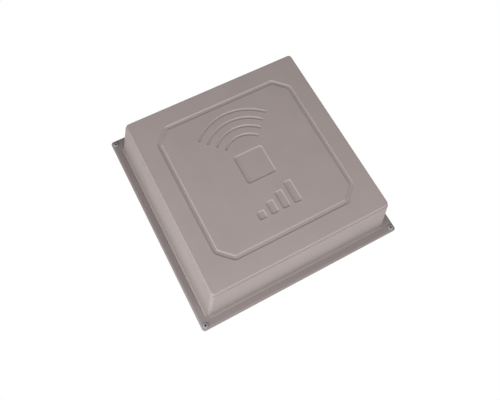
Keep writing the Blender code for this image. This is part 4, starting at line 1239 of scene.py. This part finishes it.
def make_u_bolt(zinc):
    """The bent rod, with a rolled thread on each leg."""
    low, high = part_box("u_bolt")
    radius = high.z
    leg_x = high.x - radius
    bend_y = high.y - leg_x - radius
    leg = bend_y - low.y
    sides = 24
    angles = np.arange(sides) * 2 * math.pi / sides
    along = list(np.arange(0.0, LEG_THREAD + 2.5 * M8_PITCH, M8_PITCH / 8))
    along += [LEG_THREAD + 0.008, leg - 0.001]
    bend = [leg + math.pi * leg_x * share for share in np.linspace(0.0, 1.0, 49)]
    total = 2 * leg + math.pi * leg_x
    places = along + bend + [total - place for place in reversed(along)]
    up = Vector((0, 0, 1))
    loops = []
    for place in places:
        from_end = min(place, total - place)
        if from_end <= leg:
            side = -1 if place < total / 2 else 1
            centre = Vector((side * leg_x, low.y + from_end, 0.0))
            outward = Vector((side, 0.0, 0.0))
        else:
            swing = (place - leg) / leg_x
            outward = Vector((-math.cos(swing), math.sin(swing), 0.0))
            centre = Vector((0.0, bend_y, 0.0)) + outward * leg_x
        cut = THREAD_DEPTH * M8_PITCH * thread_cut(place, angles, M8_PITCH)
        cut *= smooth((LEG_THREAD + 2 * M8_PITCH - from_end) / (2 * M8_PITCH))
        reach = np.minimum(radius - cut, radius - 0.0008 + from_end)
        loops.append([
            centre + outward * float(r * math.cos(a)) + up * float(r * math.sin(a))
            for r, a in zip(reach, angles)
        ])
    shape = Shape()
    shape.bands(loops)
    shape.cap(loops[0])
    shape.cap(loops[-1])
    settle(shape.object("bent_u_bolt"), "u_bolt", zinc)


def make_leg_fasteners(zinc):
    """The washers and nuts on the U-bolt's legs, and the washers of the two cross bolts."""
    for side in SIDES:
        node = "u_bolt_washer_" + side
        wide, tall, _ = extents(node)
        steps = washer_steps(ROD_HOLE, wide / 2, tall)
        turned("leg_washer_" + side, node, steps, zinc, "-Y", closed=True)
        node = "u_bolt_nut_" + side
        steps = nut_steps(M8_FLATS, extents(node)[1], M8_BORE, 48)
        turned("leg_nut_" + side, node, steps, zinc, "-Y", closed=True)
    washers = (("pivot", "pivot_washer"), ("lock_head", "lock_bolt_washer"), ("lock_nut", "lock_washer"))
    for name, node in washers:
        tall, wide, _ = extents(node)
        steps = washer_steps(ROD_HOLE, wide / 2, tall)
        turned("flat_washer_" + name, node, steps, zinc, "+X", closed=True)


def make_cross_bolts(zinc, nylon):
    """The pivot and lock bolts, and the pivot's locking nut with its plastic ring."""
    for node, threaded in (("pivot_bolt", 0.022), ("lock_bolt", 0.026)):
        seat = seat_of(node, "+X")
        seat.x += M8_HEAD
        length = extents(node)[0] - M8_HEAD
        steps = bolt_rings(ROD_RADIUS, M8_PITCH, M8_FLATS, M8_HEAD, length, length - threaded, 48)
        turned("hexagon_" + node, node, steps, zinc, "+X", seat)
    tall = extents("pivot_nut")[0]
    hexagon, face, fall = hexagon_of(M8_FLATS, 48)
    steps = [
        (M8_BORE, 0.0004), (M8_BORE + 0.0004, 0.0), (face, 0.0), (hexagon, fall),
        (hexagon, 0.70 * tall - fall), (0.0058, 0.72 * tall), (0.0057, 0.90 * tall), (0.0054, 0.97 * tall),
        (0.0050, tall), (0.0047, tall), (0.0046, 0.96 * tall), (0.0046, 0.72 * tall), (M8_BORE, 0.70 * tall),
    ]
    turned("locking_pivot_nut", "pivot_nut", steps, zinc, "+X", closed=True)
    seat = seat_of("pivot_nut", "+X")
    seat.x += 0.73 * tall
    thick = 0.22 * tall
    steps = [
        (0.00402, 0.0002), (0.0042, 0.0), (0.0044, 0.0), (0.00455, 0.0002),
        (0.00455, thick - 0.0002), (0.0044, thick), (0.0042, thick), (0.00402, thick - 0.0002),
    ]
    insert = turned("pivot_nut_insert", "pivot_nut", steps, nylon, "+X", seat, hides=False, closed=True)


def make_studs(zinc):
    """The studs in the back plate and the flange nuts that hold the tilt bracket on them."""
    head = 0.0012
    for corner in CORNERS:
        node = "bracket_stud_" + corner
        thread = rod_rings(M6_RADIUS, M6_PITCH, head + 0.0005, extents(node)[1], head + 0.0040, sides=48)
        steps = [(0.0040, 0.0), (0.0047, 0.0002), (0.0050, 0.0006), (0.0050, head), (M6_RADIUS, head)]
        turned("weld_stud_" + corner, node, steps + thread, zinc, "+Y")
        node = "bracket_nut_" + corner
        wide, tall, _ = extents(node)
        steps = nut_steps(M6_FLATS, tall, M6_BORE, 48, flange=wide / 2, skirt=0.0012)
        turned("flange_nut_" + corner, node, steps, zinc, "+Y", closed=True)


def make_wing_nut(zinc):
    """A cast wing nut, its hub and wings run together with soft fillets."""
    seat = seat_of("wing_nut", "+X")
    rise, _, wide = extents("wing_nut")
    hub, span = 0.0090, wide / 2
    shape = Shape()
    steps = [
        (M8_BORE, 0.0004), (M8_BORE + 0.0004, 0.0), (0.0068, 0.0), (0.0070, 0.0003), (0.0070, 0.0036),
        (0.0066, 0.0052), (0.0058, hub - 0.0004), (0.0054, hub), (M8_BORE + 0.0004, hub),
        (M8_BORE, hub - 0.0004),
    ]
    turn(shape, steps, seat, "+X", closed=True)
    wing = [
        (0.0052, 0.0016), (0.0080, 0.0018), (0.0108, 0.0030), (0.0140, 0.0058), (span - 0.0004, 0.0080),
        (span, 0.0100), (span - 0.0006, 0.0120), (span - 0.0026, rise), (0.0122, 0.0118), (0.0096, 0.0094),
        (0.0074, 0.0080), (0.0052, 0.0076),
    ]
    for sign in (-1, 1):
        rows = []
        for offset, inset in ((-0.0015, 0.0006), (-0.0011, 0.0), (0.0011, 0.0), (0.0015, 0.0006)):
            flat = grown(wing, -inset) if inset else wing
            rows.append([(seat.x + h, seat.y + offset, seat.z + sign * away) for away, h in flat])
        shape.bands(rows)
        shape.cap(rows[0])
        shape.cap(rows[-1])
    made = shape.object("cast_wing_nut")
    melt = made.modifiers.new("melt", "REMESH")
    melt.mode = "VOXEL"
    melt.voxel_size = 0.00032
    soften = made.modifiers.new("soften", "SMOOTH")
    soften.factor = 0.5
    soften.iterations = 4
    graph = bpy.context.evaluated_depsgraph_get()
    made.data = bpy.data.meshes.new_from_object(made.evaluated_get(graph))
    made.modifiers.clear()
    made.data.shade_smooth()
    settle(made, "wing_nut", zinc)


# ---- Camera, light and floor ----


def make_camera():
    """The camera at the photographed angle."""
    ahead = Vector(CAMERA_AHEAD).normalized()
    right = ahead.cross(Vector(CAMERA_UP)).normalized()
    above = right.cross(ahead)
    turned = Matrix((right, above, -ahead)).transposed().to_4x4()
    data = bpy.data.cameras.new("camera")
    data.lens = CAMERA_LENS
    data.shift_x = CAMERA_SHIFT
    data.clip_start, data.clip_end = 0.01, 50.0
    camera = bpy.data.objects.new("camera", data)
    camera.matrix_world = Matrix.Translation(CAMERA_PLACE) @ turned
    bpy.context.scene.collection.objects.link(camera)
    bpy.context.scene.camera = camera


def make_light():
    """Soft studio light: large round lamps and an even, paler surround."""
    centre = (cad_box[0] + cad_box[1]) / 2
    for name, direction, distance, size, power in LIGHTS:
        data = bpy.data.lights.new(name, "AREA")
        data.shape = "DISK"
        data.size = size
        data.energy = power
        lamp = bpy.data.objects.new(name, data)
        away = Vector(direction).normalized()
        lamp.location = centre + away * distance
        lamp.rotation_mode = "QUATERNION"
        lamp.rotation_quaternion = away.to_track_quat("Z", "Y")
        bpy.context.scene.collection.objects.link(lamp)
    world = bpy.data.worlds.new("studio")
    world.use_nodes = True
    tree = world.node_tree
    tree.nodes.clear()
    seen = tree.nodes.new("ShaderNodeLightPath").outputs["Is Camera Ray"]
    lit, white = (tree.nodes.new("ShaderNodeBackground") for _ in range(2))
    lit.inputs["Strength"].default_value = AMBIENT
    for background in (lit, white):
        background.inputs["Color"].default_value = (1.0, 1.0, 1.0, 1.0)
    mix = tree.nodes.new("ShaderNodeMixShader")
    tree.links.new(seen, mix.inputs["Fac"])
    tree.links.new(lit.outputs[0], mix.inputs[1])
    tree.links.new(white.outputs[0], mix.inputs[2])
    tree.links.new(mix.outputs[0], tree.nodes.new("ShaderNodeOutputWorld").inputs["Surface"])
    bpy.context.scene.world = world
    bpy.context.scene.view_settings.view_transform = "Standard"


def make_floor():
    """A plain pale floor, well below the panel as it hangs on its mast."""
    made = Finish("pale_floor_finish", specular=0.1)
    tone = made.noise(2.0, 2.0)
    made.wear(made.mixed(made.ranged(tone, 0.0, 1.0), (0.93, 0.93, 0.93), (0.95, 0.95, 0.95)))
    white = (1.0, 1.0, 1.0, 1.0)
    glow = {"Roughness": 0.9, "Emission Color": white, "Emission Strength": FLOOR_GLOW}
    made.fill(made.shader, glow)
    shape = Shape()
    depth = cad_box[0].z - FLOOR_DROP
    loops = [[(x, y, depth) for x, y in circle(radius, 64)] for radius in (1.0, 2.0, 3.5)]
    shape.bands(loops)
    shape.cap(loops[0])
    floor = shape.object("floor")
    floor.data.materials.append(made.material)


def main():
    """Builds the looks."""
    make_camera()
    make_light()
    make_floor()
    plastic = radome_plastic()
    black = rubber()
    aluminium = rolled_aluminium()
    galvanised_steel = galvanised()
    nylon = polymer("white_nylon_finish", (0.80, 0.79, 0.75), (0.72, 0.71, 0.67), 0.38, 0.52)
    ptfe = polymer("white_ptfe_finish", (0.88, 0.88, 0.86), (0.82, 0.82, 0.80), 0.34, 0.46)
    zinc = plated("zinc_plated_steel_finish", (0.66, 0.67, 0.69), (0.54, 0.55, 0.58), 0.24, 0.40)
    nickel = plated("nickel_plate_finish", (0.70, 0.68, 0.63), (0.62, 0.60, 0.56), 0.14, 0.26)
    gold = plated("gold_plate_finish", (0.90, 0.70, 0.32), (0.82, 0.62, 0.27), 0.16, 0.28)
    copper = plated("copper_line_finish", (0.30, 0.42, 0.20), (0.25, 0.36, 0.16), 0.30, 0.42)
    rivet_light, rivet_dark = (0.25, 0.25, 0.285), (0.21, 0.21, 0.24)
    rivet_metal = plated("rivet_aluminium_finish", rivet_light, rivet_dark, 0.62, 0.78, metallic=0.1)
    stem_steel = plated("rivet_stem_finish", (0.030, 0.028, 0.027), (0.015, 0.014, 0.014), 0.60, 0.80)
    make_radome(plastic)
    make_panel_back(aluminium, black)
    make_rivets(rivet_metal, stem_steel)
    make_board(laminate(), copper)
    for corner in CORNERS:
        make_element(corner, aluminium, nylon)
    for side in SIDES:
        make_connector(side, nickel, ptfe, gold, black, zinc)
    make_brackets(galvanised_steel)
    make_saddle(galvanised_steel)
    make_u_bolt(zinc)
    make_leg_fasteners(zinc)
    make_cross_bolts(zinc, nylon)
    make_studs(zinc)
    make_wing_nut(zinc)


main()
